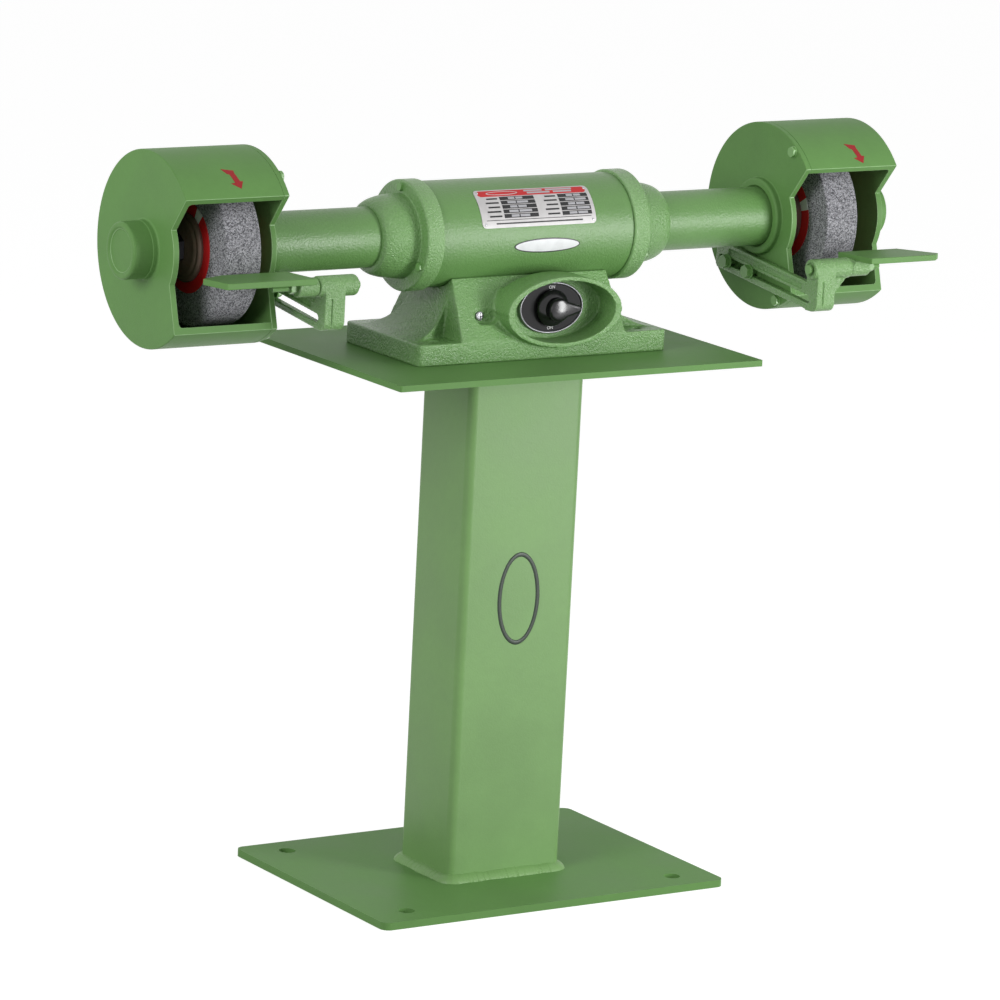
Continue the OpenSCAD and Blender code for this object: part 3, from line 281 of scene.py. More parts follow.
GROUPS = {
    "grinder_finish": FinishSettings,
    "grinder_plate": PlateSettings,
    "grinder_foot": FootSettings,
    "grinder_motor": MotorSettings,
    "grinder_guard": GuardSettings,
    "grinder_rest": RestSettings,
    "grinder_switch": SwitchSettings,
    "grinder_stage": StageSettings,
}


class Sizes:
    """Reads the lengths of a settings group in millimetres, and its other values as they are."""

    def __init__(self, group):
        self.group = getattr(bpy.context.scene, "grinder_" + group)

    def __getattr__(self, name):
        value = getattr(self.group, name)
        is_length = self.group.bl_rna.properties[name].subtype == "DISTANCE"
        return value / MM if is_length else value


def about_x(profile, steps=96):
    """Ring turned about the X axis from a closed profile of (x, radius)."""
    points, faces = [], []
    count = len(profile)
    for i in range(steps):
        turn = 2 * math.pi * i / steps
        points += [(x, -r * math.cos(turn), r * math.sin(turn)) for x, r in profile]
        here, there = i * count, (i + 1) % steps * count
        for j in range(count):
            k = (j + 1) % count
            if profile[j][1] or profile[k][1]:
                faces.append((here + j, here + k, there + k, there + j))
    return points, faces


def moved(shell, x=0.0, y=0.0, z=0.0, turn=None):
    """A shell turned by a matrix and then shifted."""
    matrix = Matrix.Translation((x, y, z)) @ (turn.to_4x4() if turn else Matrix.Identity(4))
    return [tuple(matrix @ Vector(p)) for p in shell[0]], *shell[1:]


def mirrored(shell, side):
    """A shell of the right side as it is, or mirrored for the left side."""
    return shell if side > 0 else ([(-x, y, z) for x, y, z in shell[0]], *shell[1:])


def turned(profile, y=0.0, z=None, steps=96):
    """Ring turned about a line along X, which is the shaft if no height is given."""
    return moved(about_x(profile, steps), 0, y, SHAFT_Z if z is None else z)


def prism(outline, axis, start, end):
    """Bar with a flat outline, along an axis between two places."""
    order = {"x": (2, 0, 1), "y": (0, 2, 1), "z": (0, 1, 2)}[axis]
    points = [tuple((u, v, t)[k] for k in order) for t in (start, end) for u, v in outline]
    count = len(outline)
    faces = [tuple(range(count)), tuple(range(count, 2 * count))]
    faces += [(i, (i + 1) % count, count + (i + 1) % count, count + i) for i in range(count)]
    return points, faces


def loft(rings, closed=False):
    """Skin over rings of points with the same count, capped at both ends unless it closes on itself."""
    count = len(rings[0])
    points = [p for ring in rings for p in ring]
    faces = [] if closed else [tuple(range(count)), tuple(range(len(points) - count, len(points)))]
    for i in range(len(rings) if closed else len(rings) - 1):
        here, there = i * count, (i + 1) % len(rings) * count
        faces += [(here + j, here + (j + 1) % count, there + (j + 1) % count, there + j) for j in range(count)]
    return points, faces


def block(corner, size):
    """Box from its lowest corner and its size."""
    x, y, z = corner
    outline = [(x, y), (x + size[0], y), (x + size[0], y + size[1]), (x, y + size[1])]
    return prism(outline, "z", z, z + size[2])


def arc(middle, radius, start, end, steps=6):
    """Points along an arc, with its angles in degrees."""
    turns = [math.radians(start + (end - start) * i / steps) for i in range(steps + 1)]
    return [(middle[0] + radius * math.cos(a), middle[1] + radius * math.sin(a)) for a in turns]


def bend(x, r, radius, start, end, steps=6):
    """Arc in a profile of (x, radius) round a place, with its angles in degrees from the radius."""
    return [(u, v) for v, u in arc((r, x), radius, start, end, steps)]


def rod(start, end, radius, bore=0):
    """Profile of a plain rod or tube."""
    return [(start, bore), (start, radius), (end, radius), (end, bore)]


def slot_outline(start, end, z, radius, steps=12):
    """Outline of a long hole with round ends, along the first axis."""
    return arc((start, z), radius, 90, 270, steps) + arc((end, z), radius, -90, 90, steps)


def rounded(width, depth, radius, steps=8):
    """Outline of a rectangle with round corners, centred."""
    u, v = width / 2 - radius, depth / 2 - radius
    quarters = ((u, v, 0), (-u, v, 90), (-u, -v, 180), (u, -v, 270))
    return [p for x, y, a in quarters for p in arc((x, y), radius, a, a + 90, steps)]


def oval(width, height, x=0.0, z=0.0, steps=96):
    """Outline of an ellipse round a place."""
    turns = [2 * math.pi * i / steps for i in range(steps)]
    return [(x + width / 2 * math.cos(a), z + height / 2 * math.sin(a)) for a in turns]


def oval_ring(levels, width, height, x, z):
    """Ring along an ellipse across Y, from a closed profile of (growth, y)."""
    rings = [[(u, y, v) for u, v in oval(width + 2 * out, height + 2 * out, x, z)] for out, y in levels]
    return loft(rings, closed=True)


def marked(shell, mark):
    """A shell whose faces all have one finish slot."""
    return *shell[:2], [mark] * len(shell[1])


def wrap(rows, inner, outer):
    """Thin sheet round the shaft between two radii, from rows of (angle above the front, first x, last x)."""
    rings = []
    for turn, start, end in rows:
        rings.append([(x, -r * math.cos(turn), SHAFT_Z + r * math.sin(turn))
                      for x, r in ((start, outer), (end, outer), (end, inner), (start, inner))])
    return loft(rings)


def hex_head(across, height, chamfer=0.12, steps=48):
    """Hexagon bolt head or nut along X from 0, with a turned chamfer on its outer face."""
    flat = across / 2
    rings = []
    levels = (0.0, 0.55, 0.7, 0.8, 0.88, 0.95, 1.0)
    for level in levels:
        cone = flat * (1 + chamfer * 0.35) + (1 - level) * height * 1.1
        ring = []
        for i in range(steps):
            a = 2 * math.pi * i / steps
            side = (a + math.pi / 6) % (math.pi / 3) - math.pi / 6
            radius = min(flat / math.cos(side), cone)
            ring.append((level * height, radius * math.cos(a), radius * math.sin(a)))
        rings.append(ring)
    return loft(rings)


def thread(radius, pitch, start, end, steps=24):
    """Screw thread along X between two places."""
    depth = 0.3 * pitch
    per_turn = 6
    count = max(2, int((end - start) / pitch * per_turn))
    rings = []
    for i in range(count + 1):
        x = start + (end - start) * i / count
        fade = min(1.0, (count - i) / per_turn)
        ring = []
        for j in range(steps):
            phase = (x / pitch + j / steps) % 1
            r = radius - depth * abs(2 * phase - 1) * fade - depth * (1 - fade)
            a = 2 * math.pi * j / steps
            ring.append((x, r * math.cos(a), r * math.sin(a)))
        rings.append(ring)
    return loft(rings)


def make(name, *shells, sharp=35):
    """One object of closed shells. A shell's third part, if it has one, is the finish slot of each face."""
    mesh = bpy.data.meshes.new(name)
    form = bmesh.new()
    for points, faces, *marks in shells:
        verts = [form.verts.new(Vector(p) * MM) for p in points]
        for i, face in enumerate(faces):
            made = form.faces.new([verts[k] for k in face])
            made.material_index = marks[0][i] if marks else 0
        bmesh.ops.remove_doubles(form, verts=verts, dist=0.002 * MM)
        bmesh.ops.delete(form, geom=[e for e in form.edges if not e.link_faces], context="EDGES")
    bmesh.ops.recalc_face_normals(form, faces=form.faces)
    form.to_mesh(mesh)
    form.free()
    piece = bpy.data.objects.new(name, mesh)
    bpy.context.scene.collection.objects.link(piece)
    return shaded(piece, sharp)


def make_side(name, sign, *shells, sharp=35):
    """One object of closed shells of the right side, mirrored for the left side."""
    return make(name, *[mirrored(shell, sign) for shell in shells], sharp=sharp)


def shaded(piece, sharp=35):
    """Smooth shading with hard edges above an angle."""
    piece.data.shade_smooth()
    piece.data.set_sharp_from_angle(angle=math.radians(sharp))
    return piece


def settle(piece):
    """Turns the modifiers of a piece into its mesh."""
    graph = bpy.context.evaluated_depsgraph_get()
    mesh = bpy.data.meshes.new_from_object(piece.evaluated_get(graph))
    piece.modifiers.clear()
    rough, piece.data = piece.data, mesh
    bpy.data.meshes.remove(rough)
    return piece


def carve(piece, *shells):
    """Cuts shells out of a piece."""
    cutters = [make("cutter", shell) for shell in shells]
    for cutter in cutters:
        cut = piece.modifiers.new("cut", "BOOLEAN")
        cut.operation = "DIFFERENCE"
        cut.solver = "MANIFOLD"
        cut.object = cutter
    settle(piece)
    for cutter in cutters:
        bpy.data.meshes.remove(cutter.data)
    return piece


def ease(piece, width, segments=3, over=50, sharp=35, slot=-1):
    """Rounds the edges of a piece that turn by more than an angle, with a finish slot of their own if asked."""
    bevel = piece.modifiers.new("ease", "BEVEL")
    bevel.material = slot
    bevel.width = width * MM
    bevel.segments = segments
    bevel.limit_method = "ANGLE"
    bevel.angle_limit = math.radians(over)
    bevel.use_clamp_overlap = True
    settle(piece)
    shaded(piece, sharp)
    weigh = piece.modifiers.new("weigh", "WEIGHTED_NORMAL")
    weigh.keep_sharp = True
    return settle(piece)


def cast(piece, voxel, passes=4):
    """Melts overlapping solids into one casting, with a small round on every edge and inner corner."""
    skin = piece.modifiers.new("skin", "REMESH")
    skin.mode = "VOXEL"
    skin.voxel_size = voxel * MM
    melt = piece.modifiers.new("melt", "SMOOTH")
    melt.factor = 0.5
    melt.iterations = passes
    settle(piece)
    piece.data.shade_smooth()
    return piece


def dress(piece, *finishes):
    """Gives a piece its finishes, with every face on the first one."""
    piece.data.materials.clear()
    for finish in finishes:
        piece.data.materials.append(finish)


def stand_for(piece, finish, *nodes):
    """A piece takes the place and the body of CAD nodes, with a finish if one is given."""
    go_with(piece, finish, nodes[0])
    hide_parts(*nodes)
    return piece


def go_with(piece, finish, node):
    """A piece of trim rides with a CAD node. Without a finish it keeps those that its faces have."""
    if finish:
        dress(piece, finish)
    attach(piece, NODES[node]["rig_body"])
    return piece


def is_socket(value):
    """True for the output of a node, false for a plain value."""
    return isinstance(value, bpy.types.NodeSocket)


def add(tree, kind, values=(), **settings):
    """Adds a node, with its settings and with values or links for its inputs."""
    made = tree.nodes.new(kind)
    for name, value in settings.items():
        setattr(made, name, value)
    for key, value in dict(values).items():
        if is_socket(value):
            tree.links.new(value, made.inputs[key])
        else:
            made.inputs[key].default_value = value
    return made


def blend_colour(tree, share, one, other):
    """Mixes two colours or colour sockets."""
    one, other = (value if is_socket(value) else (*value[:3], 1.0) for value in (one, other))
    return add(tree, "ShaderNodeMix", {0: share, 6: one, 7: other}, data_type="RGBA").outputs[2]


def spread(tree, value, start, end, to_start=0.0, to_end=1.0):
    """Maps a value from one range to another."""
    inputs = {"Value": value, "From Min": start, "From Max": end, "To Min": to_start, "To Max": to_end}
    return add(tree, "ShaderNodeMapRange", inputs).outputs[0]


def sums(tree, operation, one, other=0.0):
    """One step of arithmetic."""
    return add(tree, "ShaderNodeMath", {0: one, 1: other}, operation=operation).outputs[0]


def clouds(tree, place, size, detail=3.0, rough=0.5):
    """Noise with features of a size in millimetres."""
    inputs = {"Vector": place, "Scale": 1 / (size * MM), "Detail": detail, "Roughness": rough}
    return add(tree, "ShaderNodeTexNoise", inputs).outputs["Fac"]


def new_finish(name, roughness, metallic=0.0):
    """Material with its tree, its shader and its object coordinates."""
    made = bpy.data.materials.get(name) or bpy.data.materials.new(name)
    made.use_nodes = True
    tree = made.node_tree
    shader = tree.nodes["Principled BSDF"]
    shader.inputs["Roughness"].default_value = roughness
    shader.inputs["Metallic"].default_value = metallic
    place = add(tree, "ShaderNodeTexCoord").outputs["Object"]
    return made, tree, shader, place


def bump(tree, shader, height, strength, depth):
    """Raises a surface by a height map, with a depth in millimetres."""
    raised = add(tree, "ShaderNodeBump", {"Strength": strength, "Distance": depth * MM, "Height": height})
    tree.links.new(raised.outputs[0], shader.inputs["Normal"])


def paint_finish(name, colour, grain, depth, roughness, gloss, dimples=0.0, wear_and_highlight=0.0):
    """Machine paint: cloudy tone, grain from the metal under it, painted glints on the dimple tops and, on
    dense meshes, lighter edges of worn paint and painted highlight.
    """
    made, tree, shader, place = new_finish(name, roughness)
    group = bpy.context.scene.grinder_finish
    tone = clouds(tree, place, 140, 4, 0.55)
    dark = [c * 0.92 for c in colour]
    light = [min(1, c * 1.06) for c in colour]
    body = blend_colour(tree, spread(tree, tone, 0.35, 0.65), dark, light)
    speck = clouds(tree, place, 9, 4, 0.6)
    body = blend_colour(tree, spread(tree, speck, 0.3, 0.7, 0.0, 0.12), body, [c * 0.7 for c in colour])
    # Sharp edges lighter: worn paint and a painted highlight
    if wear_and_highlight:
        edge = add(tree, "ShaderNodeNewGeometry").outputs["Pointiness"]
        body = blend_colour(tree, spread(tree, edge, 0.51, 0.57, 0.0, wear_and_highlight), body, group.worn)
    dull = spread(tree, tone, 0.3, 0.7, roughness - 0.05, roughness + 0.07)
    tree.links.new(dull, shader.inputs["Roughness"])
    height = clouds(tree, place, grain, 3, 0.6)
    if dimples:
        inputs = {"Vector": place, "Scale": 1 / group.dimple, "Smoothness": 0.6}
        cells = add(tree, "ShaderNodeTexVoronoi", inputs, feature="SMOOTH_F1")
        height = sums(tree, "ADD", sums(tree, "MULTIPLY", cells.outputs["Distance"], dimples), height)
        # Dimple tops lighter: painted glints standing in for the speckled gloss
        body = blend_colour(tree, spread(tree, height, 0.85, 1.15, 0.0, 0.13), body, group.worn)
    tree.links.new(body, shader.inputs["Base Color"])
    bump(tree, shader, height, 1.0, depth)
    shader.inputs["Specular IOR Level"].default_value = gloss
    return made


def metal_finish(name, colour, roughness, scratch=0.35, rust=0.0, metallic=1.0):
    """Bare or plated metal, with fine turning marks and stains."""
    made, tree, shader, place = new_finish(name, roughness, metallic)
    stains = clouds(tree, place, 8, 5, 0.65)
    body = blend_colour(tree, spread(tree, stains, 0.3, 0.7), [c * 0.75 for c in colour], colour)
    if rust:
        body = blend_colour(tree, spread(tree, stains, 0.55, 0.7, 0.0, rust), body, linear(96, 60, 38))
    tree.links.new(body, shader.inputs["Base Color"])
    dull = spread(tree, stains, 0.3, 0.7, roughness - 0.08, roughness + 0.12)
    tree.links.new(dull, shader.inputs["Roughness"])
    stretch = add(tree, "ShaderNodeMapping", {"Vector": place, "Scale": (1.0, 0.12, 0.12)})
    bump(tree, shader, clouds(tree, stretch.outputs[0], 0.7, 2, 0.5), scratch, 0.05)
    return made


def grit_finish():
    """Pressed grit of a grinding wheel: dark and light grains in a grey bond."""
    made, tree, shader, place = new_finish("wheel_grit", 0.8)
    group = bpy.context.scene.grinder_finish
    grains = add(tree, "ShaderNodeTexVoronoi", {"Vector": place, "Scale": 1 / group.grit, "Randomness": 1.0})
    pick = add(tree, "ShaderNodeSeparateColor", {"Color": grains.outputs["Color"]}).outputs[0]
    fine = clouds(tree, place, 0.9, 2, 0.7)
    mixed = sums(tree, "ADD", sums(tree, "MULTIPLY", pick, 0.6), sums(tree, "MULTIPLY", fine, 0.5))
    share = spread(tree, mixed, 0.28, 0.82)
    patch = clouds(tree, place, 26, 3, 0.5)
    body = blend_colour(tree, share, group.stone_dark, group.stone_light)
    body = blend_colour(tree, spread(tree, patch, 0.35, 0.65, 0.0, 0.12), body, group.stone_dark)
    tree.links.new(body, shader.inputs["Base Color"])
    bump(tree, shader, mixed, 1.0, 0.5)
    return made


def paper_finish():
    """Red paper disc with one white patch and faint print marks."""
    made, tree, shader, place = new_finish("wheel_paper", 0.55)
    group = bpy.context.scene.grinder_finish
    split = add(tree, "ShaderNodeSeparateXYZ", {"Vector": place})
    rise = sums(tree, "SUBTRACT", split.outputs["Z"], SHAFT_Z * MM)
    turn = sums(tree, "ARCTAN2", rise, sums(tree, "MULTIPLY", split.outputs["Y"], -1.0))
    on_right = sums(tree, "GREATER_THAN", split.outputs["X"], 0.0)
    middle = spread(tree, on_right, 0, 1, math.radians(58), math.radians(23))
    apart = sums(tree, "ABSOLUTE", sums(tree, "SUBTRACT", turn, middle))
    patch = sums(tree, "LESS_THAN", apart, math.radians(8))
    fibre = clouds(tree, place, 1.2, 3, 0.6)
    dark = [c * 0.8 for c in group.label_red]
    red = blend_colour(tree, spread(tree, fibre, 0.3, 0.7), dark, group.label_red)
    body = blend_colour(tree, patch, red, linear(214, 212, 214))
    tree.links.new(body, shader.inputs["Base Color"])
    bump(tree, shader, fibre, 0.4, 0.05)
    return made


def plain_finish(name, colour, roughness, grain=1.0, depth=0.04, metallic=0.0):
    """Moulded plastic, enamel or plate: an even colour with a little cloud and grain."""
    made, tree, shader, place = new_finish(name, roughness, metallic)
    tone = clouds(tree, place, 12, 3, 0.5)
    body = blend_colour(tree, spread(tree, tone, 0.3, 0.7), [c * 0.88 for c in colour], colour)
    tree.links.new(body, shader.inputs["Base Color"])
    bump(tree, shader, clouds(tree, place, grain, 2, 0.5), 0.5, depth)
    return made


def paint(name):
    """One of the machine's paints, made when it is first asked for."""
    group = bpy.context.scene.grinder_finish
    # Lighter paint for the guards' rounded edges: worn paint and a painted highlight
    worn_and_highlight_edge = [(one + other) / 2 for one, other in zip(group.paint, group.worn)]
    # Bolt heads take a still lighter copy of the paint: painted light for the light they catch
    bolt = [c * 1.15 for c in group.cast_paint]
    # Colour, grain and bump depth in millimetres, roughness, gloss, share of dimples (with painted glints on
    # their tops) and share of lighter edges (worn paint and painted highlight)
    kinds = {
        "sheet_paint": (group.paint, 2.4, 0.16, 0.5, 0.12),
        "column_paint": (group.column_paint, 2.4, 0.16, 0.42, 0.4),
        "guard_paint": (group.paint, 2.4, 0.2, 0.46, 0.16),
        "smooth_paint": (group.paint, 2.8, 0.7, 0.34, 0.5),
        "cast_paint": (group.cast_paint, group.grain / MM, 0.9, 0.27, 0.6, 1.0, 0.4),
        "bolt_paint": (bolt, 1.2, 0.08, 0.3, 0.5),
        "edge_paint": (worn_and_highlight_edge, 2.0, 0.12, 0.38, 0.5),
    }
    return bpy.data.materials.get(name) or paint_finish(name, *kinds[name])


def steel(name="bare_steel", shade=168, roughness=0.32):
    """Bare bright steel."""
    return bpy.data.materials.get(name) or metal_finish(name, linear(shade, shade, shade + 4), roughness)


def plate_with_holes(name, node, corner, edge, holes):
    """Flame-cut plate in the place of a CAD node, with round holes of (x, y, diameter)."""
    bottom, top = low(node), high(node)
    outline = rounded(top.x - bottom.x, top.y - bottom.y, corner)
    plate = make(name, prism(outline, "z", bottom.z, top.z))
    cutters = [prism(oval(d, d, x, y, 48), "z", bottom.z - 5, top.z + 5) for x, y, d in holes]
    carve(plate, *cutters)
    ease(plate, edge)
    return stand_for(plate, paint("sheet_paint"), node)


class GRINDER_OT_plates(bpy.types.Operator):
    """Floor plate and top plate with their holes"""

    bl_idname = "grinder.plates"
    bl_label = "Plates"

    def execute(self, context):
        size = Sizes("plate")
        holes = [(x, y, size.floor_hole) for x, y in FLOOR_HOLES]
        plate_with_holes("floor_plate", "base_plate", size.base_corner, size.edge, holes)
        holes = [(x, y, size.bolt_hole) for x, y in FOOT_BOLTS] + [(0, 0, size.cable_hole)]
        plate_with_holes("head_plate", "top_plate", size.top_corner, size.edge, holes)
        return {"FINISHED"}


def weld_bead(width, depth, corner, at_z, up, leg, ripple):
    """Rippled bead in the corner between the column and a plate, all the way round."""
    path = rounded(width, depth, corner, 6)
    dense = []
    for i, here in enumerate(path):
        there = path[(i + 1) % len(path)]
        steps = max(1, round(math.dist(here, there) / 1.6))
        dense += [(here[0] + (there[0] - here[0]) * k / steps, here[1] + (there[1] - here[1]) * k / steps)
                  for k in range(steps)]
    rings = []
    travelled = 0.0
    for i, (x, y) in enumerate(dense):
        back, ahead = Vector(dense[i - 1]), Vector(dense[(i + 1) % len(dense)])
        along = (ahead - back).normalized()
        out = Vector((along.y, -along.x))
        travelled += math.dist(dense[i - 1], (x, y))
        wave = abs(math.sin(travelled * 0.75 + 0.8 * math.sin(travelled * 0.11)))
        swell = noise.noise(Vector((x, y, at_z)) * 0.045)
        reach = leg * (1 + 0.16 * swell) + ripple * (wave - 0.5)
        ring = []
        for step in range(7):
            a = math.pi / 2 * step / 6
            bulge = reach * (0.95 - 0.12 * math.sin(2 * a))
            ring.append((1.5 * bulge * math.cos(a), 1.2 * bulge * math.sin(a)))
        ring += [(-2, reach), (-2, 0)]
        rings.append([(x + out.x * r, y + out.y * r, at_z + up * rise) for r, rise in ring])
    return loft(rings, closed=True)


class GRINDER_OT_column(bpy.types.Operator):
    """Square tube column with its weld beads"""

    bl_idname = "grinder.column"
    bl_label = "Column"

    def execute(self, context):
        size = Sizes("plate")
        bottom, top = low("column").z, high("column").z
        width = span("column", 0) - 2 * size.weld_leg
        depth = span("column", 1) - 2 * size.weld_leg
        outer = rounded(width, depth, size.column_corner, 12)
        walls = 2 * size.column_wall
        inner = rounded(width - walls, depth - walls, size.column_corner / 2, 12)
        rings = [[(x, y, z) for x, y in line] for line, z in
                 ((outer, bottom), (outer, top), (inner, top), (inner, bottom))]
        tube = loft(rings, closed=True)
        beads = [weld_bead(width, depth, size.column_corner, z, up, size.weld_leg, size.weld_ripple)
                 for z, up in ((bottom, 1), (top, -1))]
        column = make("column_tube", tube, *beads, sharp=40)
        # The column takes a lighter copy of the paint: painted light
        stand_for(column, paint("column_paint"), "column")
        return {"FINISHED"}


def foot_shells(size):
    """Solids of the motor foot that melt into one casting, and the shells that are cut out of them."""
    floor = PLATE_TOP
    foot_x, foot_y = span("motor_foot", 0), 2 * high("motor_foot").y
    top = high("motor_foot").z
    rise = top - floor
    flange = prism(rounded(foot_x, foot_y, size.corner), "z", floor, floor + size.flange_h)

    def half_length(z):
        return size.saddle_x / 2 + size.lean * (1 - (z - floor) / rise)

    def level(z, half_y):
        half_x = half_length(z)
        return [(-half_x, -half_y, z), (half_x, -half_y, z), (half_x, half_y, z), (-half_x, half_y, z)]

    saddle = loft([
        level(floor, foot_y / 2), level(floor + size.flange_h, foot_y / 2), level(top, size.saddle_y / 2)
    ])
    rings = []
    steps = 24
    reach = (foot_x - size.saddle_x) / 2
    stations = [i / steps for i in range(steps + 1)]
    right = [(foot_x / 2 - reach * (1 - (1 - t) ** 1.9), t ** 1.9) for t in stations]
    path = right + [(-x, t) for x, t in reversed(right)]
    for x, t in path:
        deep = size.web_y / 2 + (size.web_end_y - size.web_y) / 2 * (abs(x) - size.saddle_x / 2) / reach
        z = floor + size.flange_h + (rise - size.flange_h) * t
        rings.append([(x, -deep, floor), (x, deep, floor), (x, deep, z), (x, -deep, z)])
    web = loft(rings)
    return flange, saddle, web


class GRINDER_OT_foot(bpy.types.Operator):
    """Motor foot casting with the switch cup, its screw, the cable gland and the bolts from below"""

    bl_idname = "grinder.foot"
    bl_label = "Motor foot"

    def execute(self, context):
        size = Sizes("foot")
        switch_x, _, switch_z = (v / MM for v in JOINT_AT["switch_turn"])
        back = size.cup_front - size.cup_depth
        cup_oval = oval(size.cup_x, size.cup_z, switch_x, switch_z)
        cup = prism(cup_oval, "y", -size.cup_front, -back + size.wall)
        foot = make("foot_casting", *foot_shells(size), cup)
        cast(foot, size.voxel, 0)
        bore = oval(size.cup_x - 2 * size.cup_rim_x, size.cup_z - 2 * size.cup_rim_z, switch_x, switch_z)
        body = 34
        hole_d = Sizes("plate").bolt_hole
        gland_x, _, gland_z = centre("cable_gland")
        cuts = [
            prism(bore, "y", -size.cup_front - 5, -back),
            block((switch_x - body / 2, -back - 5, switch_z - body / 2), (body, 5 + 4 * size.wall, body)),
            turned(rod(-300, 300, BARREL_R + 0.4)),
            self.hollow(size),
        ]
        for x, y in FOOT_BOLTS:
            cuts.append(prism(oval(hole_d, hole_d, x, y, 32), "z", PLATE_TOP - 5, PLATE_TOP + 60))
        cuts.append(self.pocket())
        cuts.append(prism(oval(20, 20, gland_x, gland_z, 48), "y", 0, 120))
        carve(foot, *cuts)
        cast(foot, size.voxel, 4)
        stand_for(foot, paint("cast_paint"), "motor_foot")
        self.screw()
        self.gland()
        self.bolts()
        return {"FINISHED"}

    def hollow(self, size):
        """Underside of the foot, open to the top plate and clear of the cup and the barrel."""
        half_x = size.saddle_x / 2 - size.wall
        deep = span("motor_foot", 1) / 2 - size.cup_depth
        ceiling = SHAFT_Z - BARREL_R - size.wall - PLATE_TOP
        return block((-half_x, -40, PLATE_TOP - 5), (2 * half_x, 40 + deep * 0.8, ceiling - 4))

    def pocket(self):
        """Horizontal oval pocket of the small screw, which runs into the cup's side."""
        x, _, z = centre("foot_screw")
        return prism(slot_outline(x, x + 14, z, 10), "y", -120, low("foot_screw").y + 3)

    def screw(self):
        """Cross-head screw beside the cup."""
        x, _, z = centre("foot_screw")
        seat = low("foot_screw").y
        radius = span("foot_screw", 0) / 2
        head = [(-7, 0), (-7, radius / 2), (-3, radius / 2), (-3, radius), (-1.4, radius)]
        head += [(-1.4 + 1.4 * math.sin(a), radius * math.cos(a)) for a in (0.3, 0.6, 0.9, 1.2, 1.5)]
        turn = Matrix.Rotation(-math.pi / 2, 3, "Z")
        screw = make("foot_screw_head", moved(about_x(head, 32), x, seat, z, turn))
        slots = [block((-4, -1.2, -0.7), (8, 4, 1.4)), block((-0.7, -1.2, -4), (1.4, 4, 8))]
        carve(screw, *[moved(slot, x, seat, z) for slot in slots])
        stand_for(shaded(screw), steel(), "foot_screw")

    def gland(self):
        """Cable gland with a ribbed cap, without a cable."""
        x, _, z = centre("cable_gland")
        bore, face = 5, 92
        stub = rod(low("cable_gland").y - face, 0, 10, bore)
        cap = [(7, bore), (7, 10.2), (8, 10.5), (13, 10.5)]
        cap += [(13 + 3 * math.sin(a), 7.5 + 3 * math.cos(a)) for a in (0.3, 0.7, 1.1, 1.5)] + [(16, bore)]
        turn = Matrix.Rotation(math.pi / 2, 3, "Z")
        turns = [Matrix.Rotation(2 * math.pi * i / 18, 3, "X") for i in range(18)]
        ribs = [moved(block((0, -0.6, 9.9), (5, 1.2, 1)), 8, turn=round_x) for round_x in turns]
        shells = [about_x(stub, 48), about_x(cap, 48), hex_head(23, 7)] + ribs
        gland = make("gland", *[moved(s, x, face, z, turn) for s in shells])
        carve(gland, moved(about_x(rod(-20, 40, bore), 48), x, face, z, turn))
        stand_for(shaded(gland), plain_finish("gland_nylon", linear(38, 40, 42), 0.45), "cable_gland")

    def bolts(self):
        """Hexagon bolts that hold the foot from below."""
        up = Matrix.Rotation(-math.pi / 2, 3, "Y")
        down = Matrix.Rotation(math.pi / 2, 3, "Y")
        seat = low("top_plate").z
        shank = [(0, 0), (0, 6), (27, 6), (28, 5), (28, 0)]
        shells = []
        for x, y in FOOT_BOLTS:
            shells += [moved(hex_head(19.2, 7.8), x, y, seat, down),
                       moved(about_x(shank, 32), x, y, seat, up)]
        stand_for(make("foot_bolt_set", *shells), steel("zinc_steel", 150, 0.38), "foot_bolts")


class GRINDER_OT_barrel(bpy.types.Operator):
    """Motor barrel, and the finishes of what lies inside the motor"""

    bl_idname = "grinder.barrel"
    bl_label = "Barrel"

    def execute(self, context):
        end, outer, inner = BARREL_END, BARREL_R, BARREL_R - 11
        edge = Sizes("motor").rib_t
        profile = [(-end, inner), (-end, outer - edge), (-end + edge, outer), (end - edge, outer),
                   (end, outer - edge), (end, inner)]
        barrel = make("motor_barrel", turned(profile, steps=160))
        stand_for(barrel, paint("smooth_paint"), "stator_frame")
        inner_finishes = {
            "stator_core": metal_finish("lamination", linear(112, 112, 116), 0.4),
            "stator_windings": metal_finish("copper_coil", linear(176, 96, 54), 0.4),
            "rotor_core": metal_finish("rotor_steel", linear(130, 132, 136), 0.38),
            "shaft": steel("ground_steel", 180, 0.22),
            "terminal_block": plain_finish("block_plastic", linear(36, 36, 36), 0.5),
            "switch_body": plain_finish("body_plastic", linear(34, 34, 36), 0.5),
        }
        for side, _ in SIDES:
            for ring in ("outer", "inner", "balls"):
                inner_finishes[f"{side}_bearing_{ring}"] = steel("bearing_steel", 190, 0.18)
        for node, finish in inner_finishes.items():
            dress(NODES[node], finish)
        return {"FINISHED"}


def bolt_places(radius, angles):
    """Places of bolts round the shaft as (y, z), from angles above the front in degrees."""
    turns = [math.radians(a) for a in angles]
    return [(-radius * math.cos(a), SHAFT_Z + radius * math.sin(a)) for a in turns]


